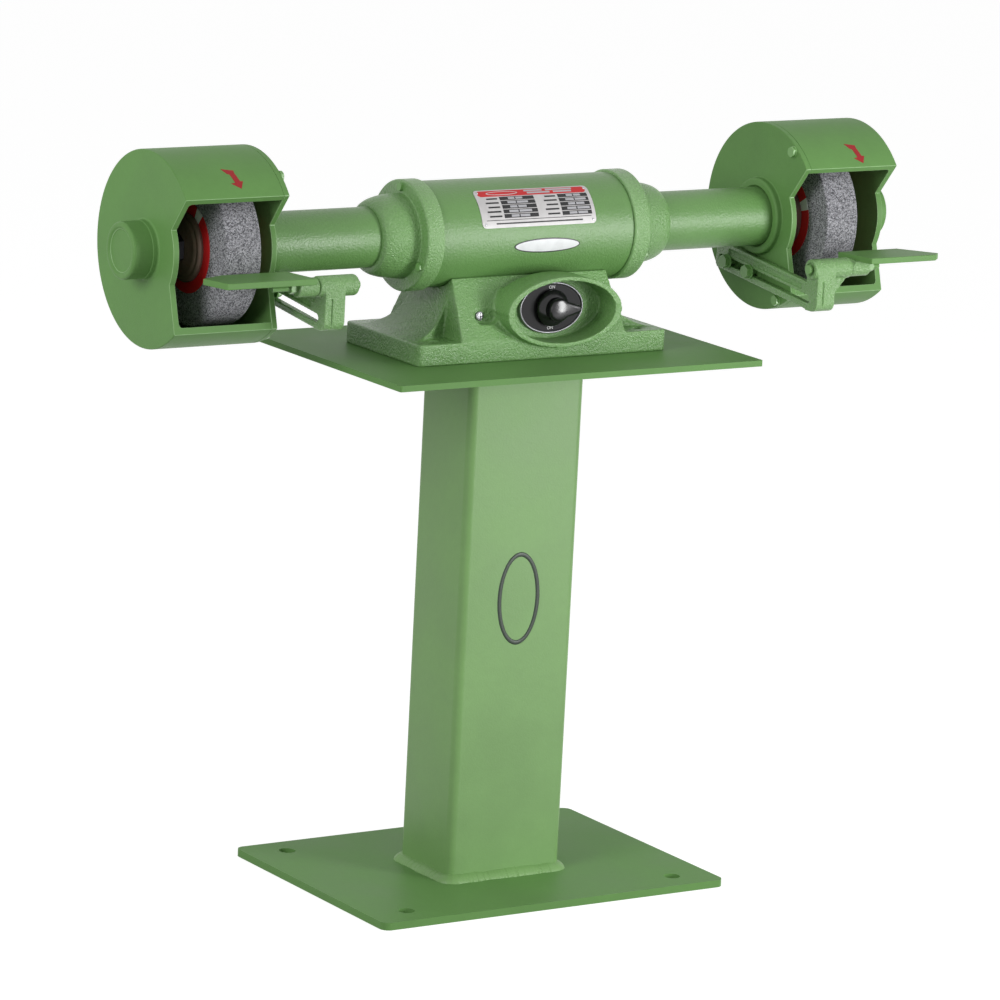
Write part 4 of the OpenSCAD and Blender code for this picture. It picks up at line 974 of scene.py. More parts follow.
class GRINDER_OT_bells(bpy.types.Operator):
    """End bells with their bolts"""

    bl_idname = "grinder.bells"
    bl_label = "End bells"

    def execute(self, context):
        size = Sizes("motor")
        face = BARREL_END + size.bell_face
        end = high("right_end_bell").x
        rim = span("right_end_bell", 1) / 2
        nose = size.neck_d / 2
        dome = size.bolt_r - 8.3
        edge, shoulder, fillet = 1.0, 3.0, 2.0
        outside = [(BARREL_END, rim - edge), (BARREL_END + edge, rim)]
        outside += bend(face - shoulder, rim - shoulder, shoulder, 0, 90, 6)
        outside += bend(face + fillet, dome + fillet, fillet, -90, -170, 5)
        for turn in range(6, 75, 4):
            a = math.radians(turn)
            outside.append((face + (end - face) * math.sin(a), nose + (dome - nose) * math.cos(a)))
        outside += [(end - 1.2, nose + 2.2), (end - 0.4, nose + 1.2), (end, nose)]
        socket = PIPE_R + 0.05
        inside = [(end, socket), (195, socket), (195, PIPE_R - 4), (188, PIPE_R - 4), (163, 49.5),
                  (BARREL_END, 55)]
        bolts_from = low("right_end_bell_bolts").x
        places = bolt_places(size.bolt_r, (-30, 90, 210))
        for side, sign in SIDES:
            bell = make_side(f"{side}_bell", sign, turned(outside + inside, steps=144))
            stand_for(bell, paint("cast_paint"), f"{side}_end_bell")
            shells = []
            for y, z in places:
                shells += [turned(rod(bolts_from, face + 1, size.bolt_d / 2), y, z, 32),
                           moved(hex_head(1.6 * size.bolt_d, 0.65 * size.bolt_d), face, y, z)]
            bolts = make_side(f"{side}_bell_bolts", sign, *shells)
            stand_for(bolts, paint("bolt_paint"), f"{side}_end_bell_bolts")
        return {"FINISHED"}


class GRINDER_OT_pipes(bpy.types.Operator):
    """Shaft pipes between the motor and the guards"""

    bl_idname = "grinder.pipes"
    bl_label = "Pipes"

    def execute(self, context):
        start, end = low("right_pipe").x, high("right_pipe").x
        bore, seat = PIPE_R - 4, 31.05
        profile = [(start, bore), (start, PIPE_R), (end, PIPE_R), (end, seat), (360, seat), (360, 28),
                   (354, 28), (350, bore)]
        for side, sign in SIDES:
            pipe = make_side(f"{side}_shaft_pipe", sign, turned(profile, steps=128))
            stand_for(pipe, paint("smooth_paint"), f"{side}_pipe")
        return {"FINISHED"}


def opening_angle(size, radius, collar, lip):
    """Angle of the opening's edge at a radius, on the straight line from the collar to the rim."""
    start = Vector((math.cos(collar), math.sin(collar))) * (size.collar_d / 2 - 1)
    end = Vector((math.cos(lip), math.sin(lip))) * GUARD_R
    along = end - start
    a, b, c = along.dot(along), 2 * start.dot(along), start.dot(start) - radius * radius
    t = (-b + math.sqrt(max(0.0, b * b - 4 * a * c))) / (2 * a)
    point = start + along * t
    return math.atan2(point.y, point.x)


def guard_shell(profile, size):
    """Guard from a closed profile of (x, radius): whole inside the collar, open in front beyond it."""
    collar = size.collar_d / 2
    front_steps = size.steps // 4
    points, rings, fronts = [], [], []

    def at(x, r, a):
        points.append((x, -r * math.cos(a), SHAFT_Z + r * math.sin(a)))
        return len(points) - 1

    for x, r in profile:
        upper = opening_angle(size, max(r, collar), size.collar_up, size.lip_up)
        lower = opening_angle(size, max(r, collar), size.collar_down, size.lip_down)
        sweep = 2 * math.pi - lower - upper
        ring = [at(x, r, upper + sweep * j / size.steps) for j in range(size.steps + 1)]
        rings.append(ring)
        front = [ring[-1]]
        if r <= collar:
            front += [at(x, r, -lower + (upper + lower) * j / front_steps) for j in range(1, front_steps)]
        fronts.append(front + [ring[0]])
    faces = []
    count = len(profile)
    for i in range(count):
        k = (i + 1) % count
        pairs = [(rings[i], rings[k])]
        if profile[i][1] <= collar and profile[k][1] <= collar:
            pairs.append((fronts[i], fronts[k]))
        for one, other in pairs:
            faces += [(one[j], one[j + 1], other[j + 1], other[j]) for j in range(len(one) - 1)]
    outer = [i for i in range(count) if profile[i][1] >= collar]
    for j in (0, size.steps):
        faces.append(tuple(rings[i][j] for i in outer))
    first, last = fronts[outer[0]], fronts[outer[-1]]
    faces += [(first[j], first[j + 1], last[j + 1], last[j]) for j in range(len(first) - 1)]
    return points, faces


def cover_profile(size):
    """Profile of a guard's drum and disc, from the axis outwards and back inside."""
    face, wall, rim = size.face, size.wall, size.rim
    cup = size.cup_d / 2
    start, end = GUARD_START, high("right_guard_cover").x
    collar = size.collar_d / 2
    outside = [(end - 3, 0), (end - 3, cup - 11)]
    outside += bend(end - 1.5, cup - 11, 1.5, -90, -10, 4)
    outside += bend(end - 3, cup - 5.5, 3, 150, 90, 4)
    outside += bend(end - 3.5, cup - 3.5, 3.5, 90, 0, 6)
    outside += [(face + 8.4, cup), (face + 7.8, cup + 0.5), (face + 6, cup + 0.7)]
    outside += bend(face + 3, cup + 3.7, 3, 180, 270, 6)
    outside += [(face, collar), (face, (collar + GUARD_R) / 2)]
    outside += bend(face - rim, GUARD_R - rim, rim, 90, 0, 5)
    outside += [(x, GUARD_R) for x in (face - 40, face - 80, start + 0.6)]
    outside += [(start, GUARD_R - 0.6)]
    inside = [(start, GUARD_R - wall), (face - wall - 5, GUARD_R - wall)]
    inside += bend(face - wall - 5, GUARD_R - wall - 5, 5, 0, 90, 5)[1:]
    inside += [(face - wall, collar), (face - wall, cup - 8), (end - 8, cup - 8), (end - 8, 0)]
    return outside + inside


def back_profile(size):
    """Profile of a guard's inner plate with its collars."""
    start = GUARD_START
    face, rim, collar = start - size.wall, size.rim, size.collar_d / 2
    inside = [(start, 19), (start, collar), (start, GUARD_R - 0.6)]
    outside = [(start - 0.6, GUARD_R)]
    outside += bend(face + rim, GUARD_R - rim, rim, 0, -90, 5)
    outside += [(face, collar)]
    outside += bend(face - 2, PIPE_R + 14, 2, 90, 180, 4)
    outside += bend(face - 6, PIPE_R + 8.5, 3.5, 0, -90, 8)
    outside += bend(face - 7.5, PIPE_R + 3.4, 2, -90, -170, 4)
    outside += [(face - 6, PIPE_R + 0.05), (face, PIPE_R + 0.05), (face, 19)]
    return inside + outside


def clamp_heights(side):
    """Places of the clamp bolts of one rest as (y, z)."""
    size = Sizes("rest")
    _, y, z = (v / MM for v in JOINT_AT[f"{side}_table_tilt"])
    places = (size.clamp_rear, size.clamp_rear - size.clamp_pitch)
    return [(at, z - size.boss_rise + (at - y) * math.tan(size.slope)) for at in places]


class GRINDER_OT_guards(bpy.types.Operator):
    """Wheel guards: drums with hub cups, inner plates and their bolts"""

    bl_idname = "grinder.guards"
    bl_label = "Guards"

    def execute(self, context):
        size = Sizes("guard")
        angles = [math.degrees(size.bolt_angle) + 120 * i for i in range(3)]
        for side, sign in SIDES:
            self.casting(size, f"{side}_guard_drum", f"{side}_guard_cover", sign, cover_profile(size))
            self.casting(size, f"{side}_guard_plate", f"{side}_guard_back", sign, back_profile(size))
            face = GUARD_START - size.wall
            self.bosses(side, sign, face)
            shank = [(face - 1.2, 0), (face - 1.2, 7.6), (face - 0.2, 8), (face, 8), (face, size.bolt_d / 2),
                     (face + 22, size.bolt_d / 2), (face + 22, 0)]
            head = mirrored(hex_head(1.6 * size.bolt_d, 4.2), -1)
            shells = []
            for y, z in bolt_places(size.bolt_r, angles):
                shells += [turned(shank, y, z, 32), moved(head, face - 1, y, z)]
            bolts = make_side(f"{side}_guard_bolt_set", sign, *shells)
            stand_for(bolts, paint("bolt_paint"), f"{side}_guard_bolts")
        return {"FINISHED"}

    def casting(self, size, name, node, sign, profile):
        """One half of a guard, lighter along its rounded edges: worn paint and a painted highlight."""
        half = make_side(name, sign, guard_shell(profile, size))
        dress(half, paint("guard_paint"), paint("edge_paint"))
        # The rounded edges take the second finish: worn paint and a painted highlight
        ease(half, size.edge, 3, 50, 32, 1)
        stand_for(half, None, node)

    def bosses(self, side, sign, face):
        """Bosses between the guard's inner plate and the arm, for the clamp bolts."""
        near = ARM_X[side] + Sizes("rest").arm_t + 0.2
        flare = [(near, 5), (near, 11.4), (near + 0.6, 12)]
        if face - 3 < near + 0.6:
            flare += [(face + 1, 13.5)]
        else:
            flare += [(face - 3, 12), (face - 1, 12.8), (face + 0.5, 15), (face + 1, 15)]
        flare += [(face + 1, 5)]
        shells = [turned(flare, y, z, 48) for y, z in clamp_heights(side)]
        trim = make_side(f"{side}_clamp_bosses", sign, *shells)
        go_with(trim, paint("guard_paint"), f"{side}_guard_back")


class GRINDER_OT_arrows(bpy.types.Operator):
    """Red arrows on the drums that show which way the wheels turn"""

    bl_idname = "grinder.arrows"
    bl_label = "Arrows"

    def execute(self, context):
        group = context.scene.grinder_finish
        red = plain_finish("arrow_red", [c * 0.5 for c in group.label_red], 0.6, 0.8, 0.05)
        tips = {"left": (-459.0, 96.4), "right": (488.6, 89.0)}
        for side, _ in SIDES:
            arrow = make(f"{side}_arrow", self.decal(*tips[side]), sharp=60)
            go_with(arrow, red, f"{side}_guard_cover")
        return {"FINISHED"}

    def decal(self, tip_x, tip_s):
        """Thin arrow on the drum above its tip, with a blunt feathered tail, in rows of (rise, left, right)."""
        outline = [(0.0, -0.3, 0.3), (8.2, -11.5, 4.6), (9.4, -5.4, 5.5), (10.8, -5.6, 6.4), (11.6, -5.7, 2.2),
                   (23.0, -7.6, 0.2), (24.6, -11.0, -0.2), (27.6, -12.6, 0.2), (30.0, -14.0, 0.5),
                   (33.4, -15.9, -14.6)]
        lines = []
        for (s0, l0, r0), (s1, l1, r1) in zip(outline, outline[1:]):
            steps = max(1, round((s1 - s0) / 1.5))
            lines += [tuple(one + (other - one) * k / steps for one, other in ((s0, s1), (l0, l1), (r0, r1)))
                      for k in range(steps)]
        lines.append(outline[-1])
        return wrap([((tip_s + rise) / GUARD_R, tip_x + left, tip_x + right) for rise, left, right in lines],
                    GUARD_R - 0.2, GUARD_R + 0.25)


class GRINDER_OT_wheels(bpy.types.Operator):
    """Grinding wheels with their paper discs, flanges and nuts"""

    bl_idname = "grinder.wheels"
    bl_label = "Wheels"

    def execute(self, context):
        group = context.scene.grinder_finish
        inner, outer = low("right_wheel").x, high("right_wheel").x
        radius = span("right_wheel", 1) / 2
        bore = 12.55
        grit, paper = grit_finish(), paper_finish()
        brown = metal_finish("flange_steel", group.flange_brown, 0.5, 0.6, rust=0.5, metallic=0.5)
        round_r = 2.5
        tread = [(inner, bore), (inner, radius - round_r)]
        tread += bend(inner + round_r, radius - round_r, round_r, -90, 0, 5)
        tread += [(outer - 24, radius)]
        tread += bend(outer - round_r, radius - round_r, round_r, 0, 90, 5)
        tread += [(outer, bore)]
        disc_r = span("right_blotters", 1) / 2
        discs = [[(x, bore), (x, disc_r - 0.2), (x + 0.2, disc_r), (x + 0.8, disc_r), (x + 1, disc_r - 0.2),
                  (x + 1, bore)] for x in (inner - 1, outer)]
        seat_out, seat_in = outer + 1, low("right_inner_flange").x
        rim = span("right_outer_flange", 1) / 2
        dish = [(seat_out + 4, bore), (seat_out + 2, rim - 13), (seat_out, rim - 10), (seat_out, rim - 0.6),
                (seat_out + 0.6, rim), (seat_out + 3.2, rim), (seat_out + 4.2, rim - 0.8),
                (seat_out + 6.4, rim - 2.4), (seat_out + 7, rim - 3.4), (seat_out + 7, rim - 5.6),
                (seat_out + 7.6, rim - 6.4), (seat_out + 9.4, rim - 8.2), (seat_out + 10, rim - 9.4),
                (seat_out + 10.6, rim - 14), (seat_out + 13.4, 22.5), (seat_out + 14, 21.4),
                (seat_out + 14, bore)]
        plate = [(seat_in, bore), (seat_in, rim - 1), (seat_in + 1, rim), (inner - 2, rim),
                 (inner - 1, rim - 1), (inner - 1, rim - 11), (inner - 3, rim - 11), (inner - 3, bore)]
        nut_from = low("right_spindle_nut").x
        nut_h = span("right_spindle_nut", 0)
        for side, sign in SIDES:
            def piece(name, finish, node, *shells):
                return stand_for(make_side(f"{side}_{name}", sign, *shells), finish, f"{side}_{node}")

            piece("stone", grit, "wheel", turned(tread, steps=160))
            piece("paper_discs", paper, "blotters", *[turned(d, steps=128) for d in discs])
            piece("flange_dish", brown, "outer_flange", turned(dish, steps=128))
            piece("flange_plate", brown, "inner_flange", turned(plate, steps=128))
            nut = piece("nut", steel("nut_steel", 60, 0.5), "spindle_nut",
                        moved(hex_head(38, nut_h), nut_from, 0, SHAFT_Z))
            carve(nut, mirrored(turned(rod(nut_from - 5, nut_from + 30, bore)), sign))
            shaded(nut)
        return {"FINISHED"}


def plate_turned(outline, turn, y, z):
    """Outline turned in the plane across the shaft and moved to a place."""
    c, s = math.cos(turn), math.sin(turn)
    return [(y + u * c - v * s, z + u * s + v * c) for u, v in outline]


class GRINDER_OT_rests(bpy.types.Operator):
    """Tool rests: slotted arms with posts, tables, clamp bolts and pivot studs"""

    bl_idname = "grinder.rests"
    bl_label = "Tool rests"

    def execute(self, context):
        size = Sizes("rest")
        for side, sign in SIDES:
            pivot = Vector(JOINT_AT[f"{side}_table_tilt"]) / MM
            self.arm(size, side, sign, pivot)
            self.table(size, side, sign, pivot)
            self.clamps(size, side, sign)
            self.stud(size, side, sign, pivot)
        return {"FINISHED"}

    def arm(self, size, side, sign, pivot):
        """Slotted arm with its post and pivot boss, as one casting."""
        boss_from, boss_to = low(f"{side}_rest_arm").x, high(f"{side}_rest_arm").x
        left = ARM_X[side] if sign > 0 else -ARM_X[side] - size.arm_t
        right = left + size.arm_t
        boss_r = size.boss_d / 2
        low_z = pivot.z - size.boss_rise
        long = size.slot_rear + size.slot_w / 2 + 7
        corner = (size.above + size.below) / 3
        outline = [(0, -size.below), (long - 4, -size.below), (long, -size.below + 4)]
        outline += arc((long - corner, size.above - corner), corner, 0, 90, 8) + [(0, size.above)]
        bar = prism(plate_turned(outline, size.slope, pivot.y, low_z), "x", left, right)
        foot = 12
        base = low_z - size.below
        front = pivot.y - boss_r
        rear = front + size.post_y
        post = [(front, pivot.z)] + arc((front + foot, base + foot), foot, 180, 270, 6)
        post += [(rear, base), (rear, pivot.z)]
        column = prism(post, "x", left, right + size.post_w)
        ends = [(boss_from, 0)] + bend(boss_from + 2, boss_r - 2, 2, -90, 0, 4)
        blunt, steps = (5, 6) if side == "left" else (2, 4)
        ends += bend(boss_to - blunt, boss_r - blunt, blunt, 0, 90, steps)
        boss = turned(ends + [(boss_to, 0)], pivot.y, pivot.z, 64)
        solids = [bar, column, boss]
        if side == "right":
            rib_from = right + size.post_w
            rib = [(rib_from - 2, pivot.z - 37), (rib_from + 1, pivot.z - 37), (boss_to - 1, pivot.z - 7),
                   (rib_from - 2, pivot.z)]
            solids.append(prism(rib, "y", pivot.y - 6, pivot.y + 6))
        arm = make(f"{side}_arm", *solids)
        cast(arm, size.voxel, 0)
        slot = slot_outline(size.slot_front, size.slot_rear, 0, size.slot_w / 2, 10)
        cuts = [prism(plate_turned(slot, size.slope, pivot.y, low_z), "x", left - 5, right + 5)]
        groove = [(size.slot_front + 15, size.slot_w / 2 + 4), (size.slot_rear - 15, size.slot_w / 2 + 4),
                  (size.slot_rear - 15, size.above - 5), (size.slot_front + 15, size.above - 5)]
        for start, end in ((left - 5, left + 2.5), (right - 2.5, right + 5)):
            cuts.append(prism(plate_turned(groove, size.slope, pivot.y, low_z), "x", start, end))
        seam_z = pivot.z - boss_r - 1
        cuts.append(block((right - 0.3, front - 5, base - 5), (2.2, 7, seam_z - base + 5)))
        cuts.append(turned(rod(boss_from - 5, boss_to + 5, 4.1), pivot.y, pivot.z, 32))
        if side == "right":
            cuts.append(turned(rod(boss_from - 5, boss_from + 2, 8.5), pivot.y, pivot.z, 48))
        carve(arm, *cuts)
        cast(arm, size.voxel, 3)
        stand_for(arm, paint("cast_paint"), f"{side}_rest_arm")

    def table(self, size, side, sign, pivot):
        """Rest table with its hub."""
        bottom, top = low(f"{side}_rest_table"), high(f"{side}_rest_table")
        start, far = TABLE_X[side], max(-bottom.x, top.x)
        front, rear = bottom.y, top.y
        hub_from, hub_to = HUB_X[side]
        if side == "left":
            plan = [(start + 11, rear), (start, front), (far - 11, front), (far, pivot.y + 10)]
        else:
            plan = [(start, rear), (start + 14, front), (far - 11, front), (far, pivot.y - 22)]
        plan.append((far - 34, rear))
        plate = make_side(f"{side}_table", sign, prism(plan, "z", top.z - size.table_t, top.z))
        ease(plate, 1.0, 3, 30)
        stand_for(plate, paint("guard_paint"), f"{side}_rest_table")
        hub_r = size.hub_d / 2
        hub = [(hub_from, 4.05), (hub_from, hub_r - 1)]
        hub += bend(hub_from + 1, hub_r - 1, 1, -90, 0, 3)
        hub += bend(hub_to - 2, hub_r - 2, 2, 0, 90, 4)
        hub += [(hub_to, 4.05)]
        under = top.z - size.table_t + 1
        cheek = [(pivot.y - 11, pivot.z + 3), (pivot.y + 11, pivot.z + 3), (pivot.y + 14, under),
                 (pivot.y - 14, under)]
        saddle = prism(cheek, "x", max(hub_from + 3, start + 1), hub_to - 3)
        lug = make_side(f"{side}_table_hub", sign, turned(hub, pivot.y, pivot.z, 64), saddle)
        cast(lug, 0.7, 3)
        go_with(lug, paint("cast_paint"), f"{side}_rest_table")

    def clamps(self, size, side, sign):
        """Clamp bolts with their washers, with their heads towards the motor."""
        face = ARM_X[side] - 0.2
        d = size.clamp_d
        washer = [(face - 2, 0), (face - 2, d * 1.03), (face - 1.7, d * 1.05), (face - 0.3, d * 1.05),
                  (face, d * 1.03), (face, d / 2), (GUARD_START, d / 2), (GUARD_START, 0)]
        head = mirrored(hex_head(1.6 * d, 0.65 * d), -1)
        shells = []
        for y, z in clamp_heights(side):
            shells += [turned(washer, y, z, 48), moved(head, face - 2, y, z)]
        bolts = make_side(f"{side}_clamp_bolts", sign, *shells)
        stand_for(bolts, paint("bolt_paint"), f"{side}_rest_clamp_bolts")

    def stud(self, size, side, sign, pivot):
        """Pivot stud with its head, nut and free thread."""
        node = f"{side}_rest_pivot"
        start, end = sorted(abs(corner.x) for corner in (low(node), high(node)))
        hub_end = HUB_X[side][1]
        r = size.pivot_d / 2
        head = [(start, 0), (start, 5.2), (start + 1, 6.2), (start + 4, 6.4), (start + 4, r), (hub_end, r),
                (hub_end, 0)]
        shells = [turned(head, pivot.y, pivot.z, 40),
                  moved(hex_head(1.6 * size.pivot_d, 9), hub_end + 0.2, pivot.y, pivot.z),
                  moved(thread(r, 1.6, hub_end - 1, end), 0, pivot.y, pivot.z)]
        stud = make_side(f"{side}_pivot_stud", sign, *shells, sharp=30)
        stand_for(stud, paint("bolt_paint"), node)


def barrel_patch(x0, x1, a0, a1, lift, thick, mark=0, corner=0.0):
    """Thin sheet on the barrel between two places and two angles above the front, in degrees."""
    height = math.radians(a1 - a0) * BARREL_R
    count = max(2, math.ceil((a1 - a0) / 1.5))
    heights = {height * i / count for i in range(count + 1)}
    if corner:
        drops = [corner * (1 - math.cos(math.radians(15 * i))) for i in range(7)]
        heights = {h for h in heights if corner < h < height - corner}
        heights |= set(drops) | {height - d for d in drops}
    rows = []
    for h in sorted(heights):
        near = max(0.0, corner - min(h, height - h))
        inset = corner - math.sqrt(corner * corner - near * near)
        rows.append((math.radians(a0) + h / BARREL_R, x0 + inset, x1 - inset))
    return marked(wrap(rows, BARREL_R + lift, BARREL_R + lift + thick), mark)


def barrel_oval(x, a, width, height, lift, thick, mark=0):
    """Thin oval sheet on the barrel round a place and an angle above the front, in degrees."""
    rows = []
    for turn in range(-88, 89, 4):
        t = math.radians(turn)
        half = width / 2 * math.cos(t)
        rows.append((math.radians(a) + height / 2 * math.sin(t) / BARREL_R, x - half, x + half))
    return marked(wrap(rows, BARREL_R + lift, BARREL_R + lift + thick), mark)


class GRINDER_OT_badges(bpy.types.Operator):
    """Nameplate, rivets and oval badges, all without words"""

    bl_idname = "grinder.badges"
    bl_label = "Plates and badges"

    def execute(self, context):
        self.nameplate()
        self.rivets()
        self.motor_badge()
        self.column_badge()
        return {"FINISHED"}

    def nameplate(self):
        """Silver plate with a red head, black cells and plain rules."""
        group = bpy.context.scene.grinder_finish
        size = Sizes("motor")
        x0, x1 = low("nameplate").x, high("nameplate").x
        a0, a1 = math.degrees(size.plate_low), math.degrees(size.plate_high)
        thick, skin = 0.8, 0.12
        silver, red, black, white = range(4)
        shells = [barrel_patch(x0, x1, a0, a1, 0.05, thick - 0.05, silver, 6)]
        long, tall = x1 - x0, a1 - a0

        def cell(u0, u1, v0, v1, mark, lift=0.0, corner=0.0):
            shells.append(barrel_patch(x0 + u0 * long, x0 + u1 * long, a0 + v0 * tall, a0 + v1 * tall,
                                       thick + lift, skin, mark, corner))

        cell(0.025, 0.975, 0.79, 0.97, red, corner=5)
        middle = a0 + 0.88 * tall
        for width, height, mark, lift in ((48, 6.2, silver, skin), (44, 4.2, red, 2 * skin)):
            shells.append(barrel_oval(x0 + 0.24 * long, middle, width, height, thick + lift, skin, mark))
        for v, words in ((0.83, ((0.46, 0.66), (0.69, 0.85))), (0.9, ((0.44, 0.6), (0.63, 0.86)))):
            for word in words:
                cell(*word, v, v + 0.05, white, skin)
        rows, top, pitch = 5, 0.77, 0.113
        for row in range(rows):
            v = top - (row + 1) * pitch
            wide = 0.03 + 0.012 * (row * 3 % 5)
            for start, end in ((0.2, 0.5), (0.71, 0.97)):
                cell(start, end, v + 0.018, v + pitch, black)
                cell(start + 0.09 - wide / 2, start + 0.13, v + 0.038, v + 0.095, white, skin)
                cell(start + 0.14, start + 0.17 + wide, v + 0.038, v + 0.095, white, skin)
                cell(start - 0.1 - wide / 2, start - 0.02, v + 0.045, v + 0.085, black)
        cell(0.04, 0.96, 0.17, 0.185, black)
        cell(0.12, 0.88, 0.08, 0.115, black)
        plate = make("name_plate", *shells, sharp=40)
        for finish in (
            plain_finish("plate_silver", linear(196, 194, 194), 0.5, 0.8, 0.03, 0.25),
            plain_finish("plate_red", [c * 0.85 for c in group.label_red], 0.4),
            plain_finish("plate_black", linear(22, 22, 24), 0.4),
            plain_finish("plate_white", linear(172, 172, 176), 0.5),
        ):
            plate.data.materials.append(finish)
        stand_for(plate, None, "nameplate")

    def rivets(self):
        """Four round-headed rivets in the corners of the nameplate."""
        size = Sizes("motor")
        x0, x1 = low("nameplate").x, high("nameplate").x
        inset = math.radians(4)
        head = [(0, 0), (0, 1.9)] + [(0.9 * math.sin(t), 1.9 * math.cos(t)) for t in (0.3, 0.7, 1.1, 1.57)]
        r = BARREL_R + 0.75
        shells = []
        for x in (x0 + 5, x1 - 5):
            for a in (size.plate_low + inset, size.plate_high - inset):
                outwards = Matrix.Rotation(math.pi / 2 - a, 3, "X") @ Matrix.Rotation(-math.pi / 2, 3, "Y")
                y, z = -r * math.cos(a), SHAFT_Z + r * math.sin(a)
                shells.append(moved(about_x(head, 20), x, y, z, outwards))
        stand_for(make("plate_rivets", *shells), steel("rivet_steel", 190, 0.4), "nameplate_rivets")

    def motor_badge(self):
        """White oval badge with a dark border, bare inside."""
        x, _, z = centre("motor_badge")
        width, height = span("motor_badge", 0), span("motor_badge", 2)
        a = math.degrees(math.asin((z - SHAFT_Z) / BARREL_R))
        shells = [barrel_oval(x, a, width - 2 * inset, height - 2 * inset, lift, thick, mark)
                  for inset, lift, thick, mark in ((0, 0.05, 0.6, 0), (1.6, 0.65, 0.1, 1))]
        badge = make("motor_oval", *shells, sharp=40)
        badge.data.materials.append(plain_finish("badge_border", linear(26, 26, 32), 0.4))
        badge.data.materials.append(plain_finish("badge_white", linear(226, 228, 230), 0.4))
        stand_for(badge, None, "motor_badge")

    def column_badge(self):
        """Dark green oval ring on the column, bare inside."""
        x, _, z = centre("column_badge")
        front, back = low("column_badge").y, high("column_badge").y
        levels = ((0, back), (-0.3, front + 0.5), (-1.2, front), (-4.6, front), (-5.6, front + 0.4),
                  (-6.2, back))
        ring = oval_ring(levels, span("column_badge", 0), span("column_badge", 2), x, z)
        badge = make("column_oval", ring, sharp=50)
        stand_for(badge, plain_finish("badge_green", linear(26, 44, 28), 0.45), "column_badge")


class GRINDER_OT_switch(bpy.types.Operator):
    """Rotary switch: dial, bright bezel, marks and knob"""

    bl_idname = "grinder.switch"
    bl_label = "Switch"

    def execute(self, context):
        size = Sizes("switch")
        x, _, z = (v / MM for v in JOINT_AT["switch_turn"])
        black = plain_finish("switch_black", linear(24, 23, 26), 0.2, 2.0, 0.02)
        matt = plain_finish("dial_black", linear(20, 19, 22), 0.55, 2.0, 0.02)
        matt.node_tree.nodes["Principled BSDF"].inputs["Specular IOR Level"].default_value = 0.2
        bottom, top = low("switch_dial"), high("switch_dial")
        width, height = span("switch_dial", 0), span("switch_dial", 2)
        dial = make("dial", prism(oval(width - 0.3, height - 0.3, x, z), "y", bottom.y, top.y))
        carve(dial, prism(oval(8.6, 8.6, x, z, 32), "y", bottom.y - 3, top.y + 3))
        ease(dial, 0.6)
        stand_for(dial, matt, "switch_dial")
        face, back = low("switch_bezel").y, high("switch_bezel").y
        grow = (span("switch_bezel", 0) - width) / 2
        levels = ((0, back), (0, face + 1.4), (0.8, face + 0.2), (1.5, face), (2.3, face + 0.4),
                  (grow, face + 1.6), (grow, back))
        bezel = make("bezel", oval_ring(levels, width, height, x, z), sharp=50)
        stand_for(bezel, steel("bezel_steel", 150, 0.4), "switch_bezel")
        self.marks(size, x, bottom.y, z)
        self.knob(size, x, z, black)
        return {"FINISHED"}

    def marks(self, size, x, face, z):
        """White ON marks above and below the knob."""
        white = plain_finish("mark_white", linear(225, 225, 225), 0.5)
        for name, rise in (("mark_top", 26.6), ("mark_bottom", -26.6)):
            text = bpy.data.curves.new(name, "FONT")
            text.body = "ON"
            text.size = size.letter * MM
            text.align_x = "CENTER"
            text.align_y = "CENTER"
            text.extrude = 0.12 * MM
            mark = bpy.data.objects.new(name, text)
            bpy.context.scene.collection.objects.link(mark)
            mark.rotation_euler = (math.pi / 2, 0, 0)
            mark.location = Vector((x, face - 0.05, z + rise)) * MM
            bpy.context.view_layer.update()
            graph = bpy.context.evaluated_depsgraph_get()
            mesh = bpy.data.meshes.new_from_object(mark.evaluated_get(graph))
            mesh.transform(mark.matrix_world)
            bpy.data.objects.remove(mark)
            solid = bpy.data.objects.new(name, mesh)
            bpy.context.scene.collection.objects.link(solid)
            go_with(solid, white, "switch_dial")

    def knob(self, size, x, z, black):
        """Knob with a pointed handle."""
        back, front = high("switch_knob").y, low("switch_knob").y
        seat = JOINT_AT["switch_turn"][1] / MM
        r = size.knob_d / 2
        face = Matrix.Rotation(-math.pi / 2, 3, "Z")
        base = [(seat - back, 0), (seat - back, 4), (0, 4), (0, r), (5, r), (7, r - 1.2), (8.6, r - 3.5),
                (10.6, r - 7), (12.2, r - 12), (13, 0)]
        shells = [moved(about_x(base, 96), x, seat, z, face)]
        top = seat - front
        rings = []
        for level, inset in ((4.0, 0), (top - 5, 0.0), (top - 2.4, 0.7), (top - 0.8, 2.2), (top, 4.6)):
            tip, wide = size.handle - inset, 15.5 - inset
            outline = arc((0, 0), wide, 42, 318, 28)
            nose = 5.4 - inset * 0.8
            outline += arc((tip - nose, 0), nose, -75, 75, 8)
            rings.append([(x + u, seat - level, z + v) for u, v in outline])
        shells.append(loft(rings))
        knob = make("knob", *shells, sharp=28)
        stand_for(knob, black, "switch_knob")
        dot = [(0, 0), (0, 1.7), (0.3, 1.5), (0.3, 0)]
        spot = make("knob_dot", moved(about_x(dot, 24), x + 1, front + 0.1, z, face))
        go_with(spot, plain_finish("mark_white_dot", linear(225, 225, 225), 0.5), "switch_knob")


def seen_directly(tree):
    """One for rays that show the white background: from the camera, in reflections and through glass."""
    path = add(tree, "ShaderNodeLightPath").outputs
    seen = sums(tree, "MAXIMUM", path["Is Camera Ray"], path["Is Glossy Ray"])
    return sums(tree, "MAXIMUM", seen, path["Is Transmission Ray"])


